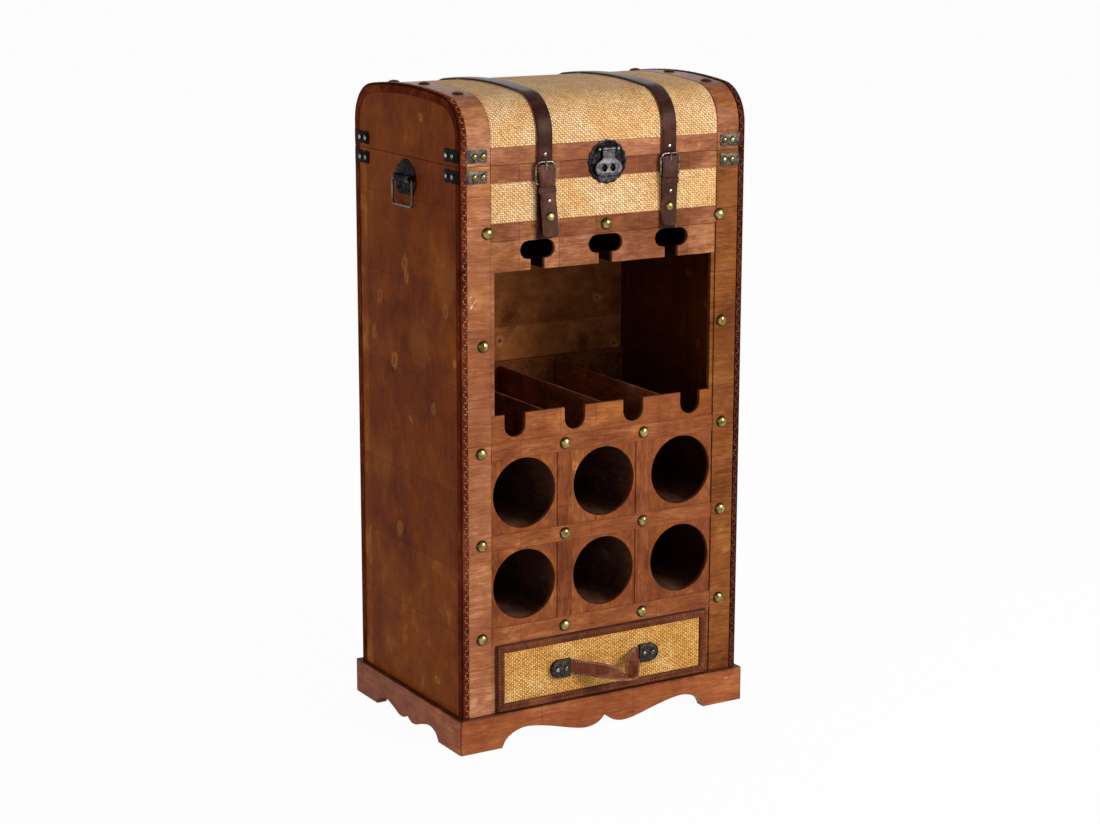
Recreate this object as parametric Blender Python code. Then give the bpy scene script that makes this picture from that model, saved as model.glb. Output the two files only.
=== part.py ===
"""A trunk-topped wine chest: glass rack, cradle for four bottles, six bottle holes and a drawer.

X runs across the front, Y from the front to the back, Z up from the floor, in metres.
The design frame has Y = 0 on the outermost wood facing of the front. An empty carries
everything so that the footprint's middle is the chest's origin.
"""

import math

import bmesh
import bpy
from mathutils import Matrix, Vector

# Fits
FIT = 0.0003
RUN_OUT = 0.0040
SINK = 0.0005
SEAM_GAP = 0.0006

# Plan of the body
BODY_WIDTH = 0.4260
BODY_DEPTH = 0.2870
STILE_WIDTH = 0.0340

# Stack of the front, from the floor up to the seam
PLINTH_HEIGHT = 0.0470
DRAWER_OPENING_HEIGHT = 0.0910
LOWER_RAIL = 0.0234
LOWER_BAY = 0.1036
MIDDLE_RAIL = 0.0200
UPPER_BAY = 0.0998
UPPER_RAIL = 0.0214
CRADLE_FACE = 0.0357
GLASS_OPENING_HEIGHT = 0.1835
SLOT_FACE = 0.0400
LOWER_BAND = 0.0214
STRAW_BAND = 0.0504
UPPER_BAND = 0.0218

# Board thicknesses
VENEER = 0.0012
STRAW = 0.0010
STRAW_RECESS = 0.0002
FRONT_BOARD = 0.0060
SIDE_BOARD = 0.0090
BACK_BOARD = 0.0050
SHELF_BOARD = 0.0060
BASE_BOARD = 0.0080

# Plinth
PLINTH_OVERHANG = 0.0070
PLINTH_BOARD = 0.0150
FOOT_LENGTH = 0.0620
FRONT_ARCH_RISE = 0.0230
SIDE_ARCH_RISE = 0.0154
# Along the half span from the foot's inner corner, and up, in shares of span and rise
FRONT_ARCH_SHARES = ((0, 0), (0.03, 0.43), (0.10, 0.80), (0.20, 1), (0.32, 0.95), (0.48, 0.72), (0.64, 0.42))
FRONT_LOBE_SHARES = ((0.76, 0.24), (0.84, 0.22), (0.92, 0.36), (0.97, 0.60), (1, 0.82))
SIDE_ARCH_SHARES = ((0, 0), (0.06, 0.55), (0.16, 0.88), (0.28, 1), (0.42, 0.86), (0.58, 0.58))
SIDE_LOBE_SHARES = ((0.72, 0.28), (0.84, 0.22), (0.93, 0.38), (1, 0.70))

# Glass rack
JAMB_REVEAL = 0.0055
GLASS_END_MARGIN = 0.0685
GLASS_SLOT_RISE = 0.0255
GLASS_SLOT_WIDTH = 0.0515
GLASS_SLOT_HEIGHT = 0.0240
STEM_SLOT = 0.0205
STEM_SLOT_DEPTH = 0.2000
GLASS_HANGER = 0.0120
CHEST_FLOOR_RISE = 0.0013

# Cradle for four lying bottles
NOTCH_END_MARGIN = 0.03555
NECK_NOTCH_WIDTH = 0.0310
NECK_NOTCH_DEPTH = 0.0301
CRADLE_FLOOR_DROP = 0.0024
DIVIDER_BOARD = 0.0040
BACK_RAIL_RISE = 0.0055

# Bottle holes
HOLE_MARGIN = 0.0027
ROW_LIFT = 0.0018
SHELF_DROP = 0.0010
MUNTIN_WIDTH = 0.0220

# Drawer
DRAWER_CLEARANCE = 0.0012
DRAWER_FOOT_CLEARANCE = 0.0010
DRAWER_FRONT_BOARD = 0.0120
DRAWER_FRONT_REVEAL = 0.0005
DRAWER_SIDE_BOARD = 0.0090
DRAWER_SIDE_INSET = 0.0048
DRAWER_SIDE_HEIGHT = 0.0677
DRAWER_DEPTH = 0.2620
DRAWER_BOTTOM = 0.0040
DRAWER_BOTTOM_RISE = 0.0067
DRAWER_GROOVE = 0.0040
DRAWER_FRAME_WIDTH = 0.0100
DRAWER_FRAME = 0.0027
GUIDE_WIDTH = 0.0120
GUIDE_HEIGHT = 0.0137
GUIDE_REAR_MARGIN = 0.0170
GUIDE_SETBACK = 0.0140
HANDLE_PLATE_X = 0.0688
HANDLE_PLATE_LENGTH = 0.0295
HANDLE_PLATE_HEIGHT = 0.0250
HANDLE_PLATE_DEPTH = 0.0042
HANDLE_STRAP_WIDTH = 0.0200
HANDLE_STRAP = 0.0025
HANDLE_TONGUE = 0.0200
HANDLE_LEAD = 0.0015
HANDLE_REACH = 0.0380
HANDLE_SAG = 0.0185
HANDLE_TWIST = math.radians(42)
HANDLE_LEAN_SHARE = 0.28
HANDLE_BOW_POWER = 0.8
# Along the bow from end to end, and how much of the twist the strap has there
HANDLE_STATION_SHARES = (
    (-1, 0), (-0.93, 0.05), (-0.82, 0.15), (-0.66, 0.35), (-0.45, 0.65), (-0.2, 0.9),
    (0, 1), (0.2, 0.95), (0.45, 0.7), (0.66, 0.4), (0.82, 0.15), (0.93, 0.05), (1, 0),
)

# Lid
LID_SIDE_RISE = 0.0333
LID_CORNER_RADIUS = 0.0510
LID_CROWN_ANGLE = math.radians(7)
LID_SHELL = 0.0050
LID_BAND = 0.0217
CORNER_STEPS = 8
CROWN_STEPS = 6

# Leather edge binding
BINDING_PROUD = 0.0008
BINDING_SIDE = 0.0006
BINDING_FRONT_WIDTH = 0.0092
BINDING_SIDE_WIDTH = 0.0090

# Corner brackets
BRACKET = 0.0008
BRACKET_FRONT_LENGTH = 0.0300
BRACKET_SIDE_LENGTH = 0.0390
BRACKET_SIDE_SETBACK = 0.0020
BRACKET_HEIGHT = 0.0165
BRACKET_SEAM_GAP = 0.0046
# The free end's wavy edge, in shares of length and height
BRACKET_END_SHARES = ((0.94, 0), (1, 0.14), (0.93, 0.30), (1, 0.50), (0.93, 0.70), (1, 0.86), (0.94, 1))
BRACKET_NAIL_SHARES = (0.38, 0.79)

# Domed nails
NAIL_RADIUS = 0.0075
NAIL_HEIGHT = 0.0045
NAIL_SHANK_RADIUS = 0.0020
SMALL_NAIL_RADIUS = 0.0026
SMALL_NAIL_HEIGHT = 0.0014
STILE_NAIL_SHARES = (0.15, 0.34, 0.43, 0.43, 0.43)
LID_NAIL_SHARES = (0.18, 0.49, 0.785)

# Hinges at the back
HINGE_SETBACK = 0.0030
HINGE_END_MARGIN = 0.0830
HINGE_LENGTH = 0.0360
HINGE_LEAF = 0.0012
HINGE_LEAF_HEIGHT = 0.0195
HINGE_BARREL_RADIUS = 0.0027
HINGE_BORE_RADIUS = 0.0016
HINGE_PIN_RADIUS = 0.0012
HINGE_KNUCKLE_SHARE = 0.34

# Lock
LOCK_RADIUS = 0.0285
LOCK_DROP = 0.0045
LOCK_PLATE = 0.0012
LOCK_LOBES = 16
LOCK_LOBE_DEPTH = 0.0013
LOCK_PIN_RISE = 0.0120
LOCK_PIN_STANDOFF = 0.0031
LOCK_PIN_RADIUS = 0.0013
LOCK_PIN_LENGTH = 0.0270
LOCK_BALL_RADIUS = 0.0020
LOCK_EAR = 0.0020
LOCK_EAR_RADIUS = 0.0025
HASP = 0.0014
HASP_TUBE_RADIUS = 0.0025
HASP_BORE_RADIUS = 0.0017
HASP_TUBE_LENGTH = 0.0186
HASP_BULB_WIDTH = 0.0395
HASP_LENGTH = 0.0339
HASP_HOLE_X = 0.00625
HASP_HOLE_WIDTH = 0.0074
HASP_HOLE_HEIGHT = 0.0100
HASP_HOLE_DROP = 0.0240
# Half of the hasp's outline from the tube down, in shares of half the bulb's width and of the length
HASP_SHARES = (
    (0.455, 0.06), (0.44, 0.26), (0.50, 0.37), (0.72, 0.46), (0.93, 0.57), (1, 0.70), (0.95, 0.84),
    (0.78, 0.95), (0.56, 1),
)
POST_RADIUS = 0.0016
POST_STANDOFF = 0.0003

# Straps
STRAP_END_MARGIN = 0.1200
STRAP_WIDTH = 0.0230
STRAP = 0.0022
STRAP_FRONT_DROP = 0.0195
STRAP_REAR_RISE = 0.0145
ANCHOR_SEAM_DROP = 0.0235
ANCHOR_LENGTH = 0.0730
BUCKLE_CLEARANCE = 0.0009
BUCKLE_WIRE_RADIUS = 0.0013
BUCKLE_TOP_RISE = 0.0005
BUCKLE_BAR_DROP = 0.0215
BUCKLE_STANDOFF = 0.0018
PRONG_RADIUS = 0.0010
TIP_TOP_DROP = 0.0065
TIP_LENGTH = 0.0865
TIP_END_ROUND = 0.0060
TIP_ROUND_SHARES = (0, 0.35, 0.7, 1)
TIP_TAPER_SHARE = 0.45
KEEPER_DROP = 0.0320
KEEPER_HEIGHT = 0.0075
KEEPER = 0.0012
SMALL_STUD_RADIUS = 0.0030
SMALL_STUD_HEIGHT = 0.0018
SMALL_STUD_SHARE = 0.50
LARGE_STUD_RADIUS = 0.0055
LARGE_STUD_HEIGHT = 0.0026
LARGE_STUD_SHARE = 0.72
LOOSE_TIP_DRIFT = 0.0040
# Down the strap's end, and off the strap below, in shares of its length and of its reach at the bar
SNAPPED_TIP_SHARES = (
    (0, 0.36), (0.10, 0.66), (0.20, 1), (0.29, 0.88), (0.37, 0.72), (0.48, 0.40), (0.58, 0.12),
    (0.70, 0), (1, 0),
)
LOOSE_TIP_SHARES = (
    (0, 0.36), (0.10, 0.66), (0.20, 1), (0.30, 1.02), (0.37, 1.10), (0.50, 1.40), (0.64, 1.80),
    (0.80, 2.25), (1, 2.8),
)

# Side handles
SIDE_HANDLE_SEAM_DROP = 0.0275
SIDE_PLATE = 0.0012
SIDE_PLATE_WIDTH = 0.0550
SIDE_PLATE_HEIGHT = 0.0420
SIDE_PLATE_DROP = 0.0180
# Half of the plate's outline from the bottom middle round to the top, in shares of half width and height
SIDE_PLATE_SHARES = (
    (0.62, 0), (0.78, 0.06), (0.84, 0.16), (1, 0.26), (1, 0.58), (0.88, 0.66), (0.84, 0.78),
    (0.60, 0.84), (0.40, 0.95), (0.16, 1),
)
SIDE_BARREL_LENGTH = 0.0460
SIDE_BARREL_RADIUS = 0.0045
SIDE_BORE_RADIUS = 0.0022
BAIL_WIRE_RADIUS = 0.0017
BAIL_WIDTH = 0.0540
BAIL_DROP = 0.0350
BAIL_SHOULDER = 0.0030
BAIL_BEND = 0.0060
BAIL_TENON = 0.0060

# How finely round shapes are faceted
ROUND_SIDES = 12
NAIL_SIDES = 10
WIRE_SIDES = 8
SMALL_NAIL_SIDES = 8
HOLE_SIDES = 40
DOME_RINGS = 2
BEND_STEPS = 4
SMALL_BEND_STEPS = 3
CURVE_STEPS = 2
HALF = 1 / 2
SMOOTH_ANGLE = math.radians(38)

# Places that follow from the sizes above
CARCASS_BOTTOM = PLINTH_HEIGHT + FIT
DRAWER_OPENING_TOP = CARCASS_BOTTOM + DRAWER_OPENING_HEIGHT
LOWER_RAIL_BOTTOM = DRAWER_OPENING_TOP + FIT
LOWER_BAY_BOTTOM = LOWER_RAIL_BOTTOM + LOWER_RAIL
MIDDLE_RAIL_BOTTOM = LOWER_BAY_BOTTOM + LOWER_BAY
UPPER_BAY_BOTTOM = MIDDLE_RAIL_BOTTOM + MIDDLE_RAIL
UPPER_RAIL_BOTTOM = UPPER_BAY_BOTTOM + UPPER_BAY
CRADLE_FACE_BOTTOM = UPPER_RAIL_BOTTOM + UPPER_RAIL
CRADLE_TOP = CRADLE_FACE_BOTTOM + CRADLE_FACE
SLOT_PANEL_BOTTOM = CRADLE_TOP + GLASS_OPENING_HEIGHT
LOWER_BAND_BOTTOM = SLOT_PANEL_BOTTOM + SLOT_FACE
STRAW_BOTTOM = LOWER_BAND_BOTTOM + LOWER_BAND + FIT
UPPER_BAND_BOTTOM = STRAW_BOTTOM + STRAW_BAND + FIT
CARCASS_TOP = UPPER_BAND_BOTTOM + UPPER_BAND
LID_BOTTOM = CARCASS_TOP + SEAM_GAP
SEAM_HEIGHT = CARCASS_TOP + SEAM_GAP / 2

HALF_BODY = BODY_WIDTH / 2
SIDE_OUTER = HALF_BODY - BINDING_SIDE - FIT
SIDE_INNER = SIDE_OUTER - SIDE_BOARD
INNER_X = SIDE_INNER - FIT
BINDING_INNER = HALF_BODY - BINDING_FRONT_WIDTH
STILE_OUTER = BINDING_INNER - FIT
STILE_INNER = STILE_OUTER - STILE_WIDTH
BAND_X = STILE_INNER - FIT
OPENING_X = STILE_INNER - JAMB_REVEAL
GLASS_PITCH = STILE_INNER - GLASS_END_MARGIN
NOTCH_PITCH = (STILE_INNER - NOTCH_END_MARGIN) * 2 / 3
HOLE_PITCH = (STILE_INNER * 2 + MUNTIN_WIDTH) / 3
HOLE_DIAMETER = min(HOLE_PITCH - MUNTIN_WIDTH, UPPER_BAY) - HOLE_MARGIN * 2
HINGE_X = HALF_BODY - HINGE_END_MARGIN
STRAP_X = HALF_BODY - STRAP_END_MARGIN

MIDDLE_RAIL_CENTRE = MIDDLE_RAIL_BOTTOM + MIDDLE_RAIL / 2
UPPER_RAIL_CENTRE = UPPER_RAIL_BOTTOM + UPPER_RAIL / 2
LOWER_RAIL_CENTRE = LOWER_RAIL_BOTTOM + LOWER_RAIL / 2
LOWER_BAND_CENTRE = LOWER_BAND_BOTTOM + LOWER_BAND / 2
LOWER_ROW_Z = LOWER_BAY_BOTTOM + LOWER_BAY / 2 + ROW_LIFT
UPPER_ROW_Z = UPPER_BAY_BOTTOM + UPPER_BAY / 2 + ROW_LIFT
LOWER_SHELF_TOP = LOWER_ROW_Z - HOLE_DIAMETER / 2 - SHELF_DROP
UPPER_SHELF_TOP = UPPER_ROW_Z - HOLE_DIAMETER / 2 - SHELF_DROP
CRADLE_FLOOR_BOTTOM = UPPER_RAIL_BOTTOM - CRADLE_FLOOR_DROP
CRADLE_FLOOR_TOP = CRADLE_FLOOR_BOTTOM + SHELF_BOARD
CHEST_FLOOR_BOTTOM = LOWER_BAND_BOTTOM + CHEST_FLOOR_RISE

BOARD_FRONT = VENEER + FIT
BOARD_REAR = BOARD_FRONT + FRONT_BOARD
INNER_FRONT = BOARD_REAR + FIT
BACK_FRONT = BODY_DEPTH - BACK_BOARD
INNER_REAR = BACK_FRONT - FIT
REAR_FACE = BODY_DEPTH + FIT
MIDDLE_Y = BODY_DEPTH / 2

DRAWER_X = OPENING_X - DRAWER_CLEARANCE
DRAWER_BOTTOM_Z = CARCASS_BOTTOM + DRAWER_FOOT_CLEARANCE
DRAWER_TOP_Z = DRAWER_OPENING_TOP - DRAWER_FOOT_CLEARANCE
DRAWER_MIDDLE_Z = (DRAWER_BOTTOM_Z + DRAWER_TOP_Z) / 2
DRAWER_FACE_Y = -DRAWER_FRONT_REVEAL
DRAWER_SIDE_OUTER = DRAWER_X - DRAWER_SIDE_INSET
DRAWER_SIDE_INNER = DRAWER_SIDE_OUTER - DRAWER_SIDE_BOARD
DRAWER_BOX_FRONT = DRAWER_FACE_Y + DRAWER_FRONT_BOARD + FIT
DRAWER_BOTTOM_LOW = CARCASS_BOTTOM + DRAWER_BOTTOM_RISE
DRAWER_STRAW_FACE = DRAWER_FACE_Y - FIT - STRAW

HINGE_Y = BODY_DEPTH + HINGE_SETBACK
STRAP_OFFSET = -FIT
LOCK_FACE = -FIT - LOCK_PLATE
LOCK_CENTRE_Z = SEAM_HEIGHT - LOCK_DROP
LOCK_PIN_Y = LOCK_FACE - LOCK_PIN_STANDOFF
LOCK_PIN_Z = SEAM_HEIGHT + LOCK_PIN_RISE
SIDE_BARREL_X = SIDE_OUTER + FIT + SIDE_PLATE + SIDE_BARREL_RADIUS * math.cos(math.pi / ROUND_SIDES)
SIDE_HANDLE_Z = SEAM_HEIGHT - SIDE_HANDLE_SEAM_DROP

HANDLE_BACK = DRAWER_STRAW_FACE - FIT
HANDLE_SWING = (HANDLE_STRAP_WIDTH * math.sin(HANDLE_TWIST) + HANDLE_STRAP * math.cos(HANDLE_TWIST)) / 2
FRONT_REACH = HANDLE_REACH + HANDLE_STRAP / 2 - HANDLE_BACK + HANDLE_SWING
REAR_REACH = BODY_DEPTH + PLINTH_OVERHANG
CENTRE_Y = (REAR_REACH - FRONT_REACH) / 2


# Materials


def material(name, red, green, blue, roughness, metallic=0.0):
    """A Principled BSDF in a colour given as display values from 0 to 255."""
    made = bpy.data.materials.new(name)
    made.use_nodes = True
    shader = made.node_tree.nodes["Principled BSDF"]
    linear = [((value / 255 + 0.055) / 1.055) ** 2.4 for value in (red, green, blue)]
    shader.inputs["Base Color"].default_value = (*linear, 1)
    shader.inputs["Roughness"].default_value = roughness
    shader.inputs["Metallic"].default_value = metallic
    made.diffuse_color = (*linear, 1)
    return made


# Shapes

PLACE = {
    "X": lambda a, b, c: Vector((c, a, b)),
    "Y": lambda a, b, c: Vector((a, c, b)),
    "Z": lambda a, b, c: Vector((a, b, c)),
}


def prism(mesh, outline, axis, low, high):
    """An outline in the other two axes, drawn out along one axis from low to high."""
    place = PLACE[axis]
    first = [mesh.verts.new(place(a, b, low)) for a, b in outline]
    face = mesh.faces.new(first)
    made = bmesh.ops.extrude_face_region(mesh, geom=[face], use_keep_orig=True)
    moved = [item for item in made["geom"] if isinstance(item, bmesh.types.BMVert)]
    bmesh.ops.translate(mesh, verts=moved, vec=place(0, 0, high - low))
    return first + moved


def block(mesh, x, y, z):
    """A straight board, each direction given as its low and high end."""
    outline = [(x[0], z[0]), (x[1], z[0]), (x[1], z[1]), (x[0], z[1])]
    return prism(mesh, outline, "Y", y[0], y[1])


def loft(mesh, rings, closed=False):
    """Bridges rings of as many points each. An open row of rings is capped at both ends."""
    made = [[mesh.verts.new(point) for point in ring] for ring in rings]
    pairs = list(zip(made, made[1:]))
    if closed:
        pairs.append((made[-1], made[0]))
    else:
        mesh.faces.new(list(reversed(made[0])))
        mesh.faces.new(made[-1])
    for ring, after in pairs:
        for index in range(len(ring)):
            follower = (index + 1) % len(ring)
            mesh.faces.new((ring[index], ring[follower], after[follower], after[index]))


def turned(mesh, profile, base, direction, sides=ROUND_SIDES):
    """A turned solid: its profile gives radius and height along the direction, from the base up."""
    turn = Vector((0, 0, 1)).rotation_difference(Vector(direction)).to_matrix()
    rings = []
    for radius, height in profile:
        ring = []
        for step in range(sides):
            angle = math.tau * (step + HALF) / sides
            point = Vector((radius * math.cos(angle), radius * math.sin(angle), height))
            ring.append(Vector(base) + turn @ point)
        rings.append(ring)
    loft(mesh, rings)


def rod(mesh, radius, start, end, sides=ROUND_SIDES):
    """A round bar between two points."""
    along = Vector(end) - Vector(start)
    turned(mesh, ((radius, 0), (radius, along.length)), start, along.normalized(), sides)


def dome_profile(radius, height, low):
    """A dome's rings of radius and height from its low edge up to a small flat crown."""
    profile = []
    for step in range(DOME_RINGS):
        angle = math.pi / 2 * step / DOME_RINGS
        profile.append((radius * math.cos(angle), low + height * math.sin(angle)))
    crown = math.pi / 2 * (DOME_RINGS - HALF) / DOME_RINGS
    return profile + [(radius * math.cos(crown), low + height)]


def stud(mesh, radius, height, base, direction, sides):
    """A stud's domed head, sunk a little into what carries it."""
    turned(mesh, [(radius, -SINK)] + dome_profile(radius, height, 0), base, direction, sides)


def nail(mesh, base, direction):
    """A large domed nail: its shank goes into the wood and its head stands just clear of it."""
    shank = [(NAIL_SHANK_RADIUS, -SINK), (NAIL_SHANK_RADIUS, FIT)]
    turned(mesh, shank + dome_profile(NAIL_RADIUS, NAIL_HEIGHT, FIT), base, direction, NAIL_SIDES)


def tube(mesh, path, radius, sides, closed=False):
    """A wire of round section along points that lie in one plane."""
    points = [Vector(point) for point in path]
    normal = plane_normal(points)
    rings = []
    for index, point in enumerate(points):
        before = points[index - 1] if index or closed else point
        after = points[(index + 1) % len(points)] if index < len(points) - 1 or closed else point
        across = (after - before).normalized().cross(normal)
        ring = []
        for step in range(sides):
            angle = math.tau * (step + HALF) / sides
            ring.append(point + radius * (math.cos(angle) * across + math.sin(angle) * normal))
        rings.append(ring)
    loft(mesh, rings, closed)


def plane_normal(points):
    """The unit normal of the plane that a bent wire lies in."""
    for middle, end in zip(points[1:], points[2:]):
        normal = (middle - points[0]).cross(end - points[0])
        if normal.length > SINK * SINK:
            return normal.normalized()
    return Vector((1, 0, 0))


def ribbon(mesh, stations, width, thickness):
    """A strap: each station has a centre, a width direction, a thickness direction and a width share."""
    rings = []
    for centre, wide, thick, share in stations:
        half_wide = wide.normalized() * width * share / 2
        half_thick = thick.normalized() * thickness / 2
        corners = ((-1, -1), (1, -1), (1, 1), (-1, 1))
        rings.append([centre + a * half_wide + b * half_thick for a, b in corners])
    loft(mesh, rings)


def arc(centre, radius, start, end, steps):
    """Points round a centre from one angle to another."""
    points = []
    for step in range(steps + 1):
        angle = start + (end - start) * step / steps
        points.append((centre[0] + radius * math.cos(angle), centre[1] + radius * math.sin(angle)))
    return points


def smooth_run(points, steps):
    """Points on a smooth curve through the given ones, with the same ends."""
    padded = [points[0]] + list(points) + [points[-1]]
    run = []
    for before, start, end, after in zip(padded, padded[1:], padded[2:], padded[3:]):
        for step in range(steps):
            t = step / steps
            pair = []
            for p0, p1, p2, p3 in zip(before, start, end, after):
                bend = 2 * p0 - 5 * p1 + 4 * p2 - p3
                twist = 3 * p1 - p0 - 3 * p2 + p3
                pair.append((2 * p1 + (p2 - p0) * t + bend * t**2 + twist * t**3) / 2)
            run.append(tuple(pair))
    return run + [tuple(points[-1])]


def lid_crown():
    """The crown arc's radius and the height of its centre."""
    half_run = MIDDLE_Y - LID_CORNER_RADIUS
    radius = half_run / math.sin(LID_CROWN_ANGLE) + LID_CORNER_RADIUS
    corner_z = LID_BOTTOM + LID_SIDE_RISE
    return radius, corner_z - (radius - LID_CORNER_RADIUS) * math.cos(LID_CROWN_ANGLE)


def lid_profile(offset, front_z, rear_z):
    """The lid's outline in Y and Z, set in by the offset, from the front's low end to the back's."""
    corner_z = LID_BOTTOM + LID_SIDE_RISE
    crown_radius, crown_z = lid_crown()
    radius = LID_CORNER_RADIUS - offset
    front_end = math.pi / 2 + LID_CROWN_ANGLE
    rear_end = math.pi / 2 - LID_CROWN_ANGLE
    front = arc((LID_CORNER_RADIUS, corner_z), radius, math.pi, front_end, CORNER_STEPS)
    crown = arc((MIDDLE_Y, crown_z), crown_radius - offset, front_end, rear_end, CROWN_STEPS)
    rear = arc((BODY_DEPTH - LID_CORNER_RADIUS, corner_z), radius, rear_end, 0, CORNER_STEPS)
    return [(offset, front_z)] + front + crown[1:-1] + rear + [(BODY_DEPTH - offset, rear_z)]


def lid_wrap(mesh, section, front_z=None, rear_z=None):
    """A section of (x, offset) points carried over the lid from front to back."""
    front_z = LID_BOTTOM if front_z is None else front_z
    rear_z = LID_BOTTOM if rear_z is None else rear_z
    runs = [lid_profile(offset, front_z, rear_z) for x, offset in section]
    rings = []
    for station in zip(*runs):
        rings.append([Vector((x, y, z)) for (x, offset), (y, z) in zip(section, station)])
    loft(mesh, rings)


def flat_section(x_low, x_high, outer, inner):
    """The section of a sheet that lies on the lid between two offsets."""
    return [(x_low, outer), (x_high, outer), (x_high, inner), (x_low, inner)]


# Objects


def node(name, mesh, look, axis, smooth=False):
    """Makes the named object, with its origin on the given empty, from points in the design frame."""
    bmesh.ops.translate(mesh, verts=mesh.verts, vec=-Vector(axis["design_place"]))
    bmesh.ops.recalc_face_normals(mesh, faces=mesh.faces)
    data = bpy.data.meshes.new(name)
    mesh.to_mesh(data)
    mesh.free()
    if smooth:
        data.shade_smooth()
        data.set_sharp_from_angle(angle=SMOOTH_ANGLE)
    data.materials.append(look)
    made = bpy.data.objects.new(name, data)
    bpy.context.scene.collection.objects.link(made)
    made.parent = axis
    return made


def axis_empty(name, place, parent=None):
    """An empty on a joint's axis. Its place is in the design frame."""
    made = bpy.data.objects.new(name, None)
    bpy.context.scene.collection.objects.link(made)
    made["design_place"] = place
    made.parent = parent
    if parent is None:
        made.location = (0, -CENTRE_Y, 0)
    else:
        made.location = Vector(place) - Vector(parent["design_place"])
    return made


def combine(target, tool_mesh, operation, axis):
    """Joins or cuts a closed shape by another, which stays as a wire guide that isn't rendered."""
    name = target.name + "_" + operation.lower()
    tool = node(name, tool_mesh, target.data.materials[0], axis)
    tool.hide_render = True
    tool.display_type = "WIRE"
    modifier = target.modifiers.new(operation.title(), "BOOLEAN")
    modifier.operation = operation
    modifier.solver = "EXACT"
    modifier.use_self = operation == "UNION"
    modifier.object = tool


# Plinth and carcass


def plinth_outline(half_length, rise, shares):
    """A plinth board's outline: feet at the ends and ogees that meet in a cusp at the middle."""
    half_span = half_length - FOOT_LENGTH
    half = [(half_length, PLINTH_HEIGHT), (half_length, 0)]
    half += [(half_span * (1 - across), rise * up) for across, up in smooth_run(shares, CURVE_STEPS)]
    return half + [(-a, b) for a, b in reversed(half[:-1])]


def plinth_board(name, look, root, axis, half_length, centre, outer, inner, rise, shares):
    """One board between its outer and inner face, mitred at both ends."""
    mesh = bmesh.new()
    end = half_length - FIT / math.sqrt(2)
    points = prism(mesh, plinth_outline(end, rise, shares), axis, outer, inner)
    along, across = (0, 1) if axis == "Y" else (1, 0)
    for point in points:
        at_inner_face = abs(point.co[across] - inner) < FIT
        at_end = abs(abs(point.co[along]) - end) < FIT
        if at_inner_face and at_end:
            point.co[along] -= math.copysign(PLINTH_BOARD, point.co[along])
    bmesh.ops.translate(mesh, verts=mesh.verts, vec=PLACE[axis](centre, 0, 0))
    return node(name, mesh, look, root)


def plinth(look, root):
    half_width = HALF_BODY + PLINTH_OVERHANG
    half_depth = MIDDLE_Y + PLINTH_OVERHANG
    curves = (FRONT_ARCH_RISE, FRONT_ARCH_SHARES + FRONT_LOBE_SHARES)
    for name, outer, way in (("front", -PLINTH_OVERHANG, 1), ("back", REAR_REACH, -1)):
        faces = (outer, outer + way * PLINTH_BOARD)
        plinth_board("plinth_" + name, look, root, "Y", half_width, 0, *faces, *curves)
    curves = (SIDE_ARCH_RISE, SIDE_ARCH_SHARES + SIDE_LOBE_SHARES)
    for name, side in (("left", -1), ("right", 1)):
        faces = (side * half_width, side * (half_width - PLINTH_BOARD))
        plinth_board("plinth_" + name, look, root, "X", half_depth, MIDDLE_Y, *faces, *curves)


def base_board(look, root):
    """The bottom inside the plinth, with the strips that guide the drawer glued on."""
    mesh = bmesh.new()
    reach = HALF_BODY + PLINTH_OVERHANG - PLINTH_BOARD - FIT
    front = PLINTH_BOARD - PLINTH_OVERHANG + FIT
    block(mesh, (-reach, reach), (front, BODY_DEPTH - front), (PLINTH_HEIGHT - BASE_BOARD, PLINTH_HEIGHT))
    made = node("base_board", mesh, look, root)
    guides = bmesh.new()
    inner = DRAWER_SIDE_OUTER + DRAWER_CLEARANCE
    for side in (-1, 1):
        x = sorted((side * inner, side * (inner + GUIDE_WIDTH)))
        y = (GUIDE_SETBACK, BODY_DEPTH - GUIDE_REAR_MARGIN)
        block(guides, x, y, (PLINTH_HEIGHT - SINK, PLINTH_HEIGHT + GUIDE_HEIGHT))
    combine(made, guides, "UNION", root)


def side_panels(look, root):
    for name, side in (("left", -1), ("right", 1)):
        mesh = bmesh.new()
        x = sorted((side * SIDE_INNER, side * SIDE_OUTER))
        block(mesh, x, (INNER_FRONT, INNER_REAR), (CARCASS_BOTTOM, CARCASS_TOP))
        node("side_panel_" + name, mesh, look, root)


def back_panel(look, root):
    """The back board and the leather that binds its edges round to the sides."""
    mesh = bmesh.new()
    flange = HALF_BODY - BINDING_SIDE
    half = [(0, BODY_DEPTH), (BINDING_INNER, BODY_DEPTH), (BINDING_INNER, BODY_DEPTH + BINDING_PROUD)]
    half += [(HALF_BODY, BODY_DEPTH + BINDING_PROUD), (HALF_BODY, BODY_DEPTH - BINDING_SIDE_WIDTH)]
    half += [(flange, BODY_DEPTH - BINDING_SIDE_WIDTH), (flange, BACK_FRONT), (0, BACK_FRONT)]
    outline = half + [(-x, y) for x, y in reversed(half[1:-1])]
    prism(mesh, outline, "Z", CARCASS_BOTTOM, CARCASS_TOP)
    made = node("back_panel", mesh, look, root)
    brackets = bmesh.new()
    low = SEAM_HEIGHT - BRACKET_SEAM_GAP - BRACKET_HEIGHT
    for side in (-1, 1):
        corner_bracket(brackets, side, low, BODY_DEPTH, -1)
    combine(made, brackets, "UNION", root)


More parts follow.
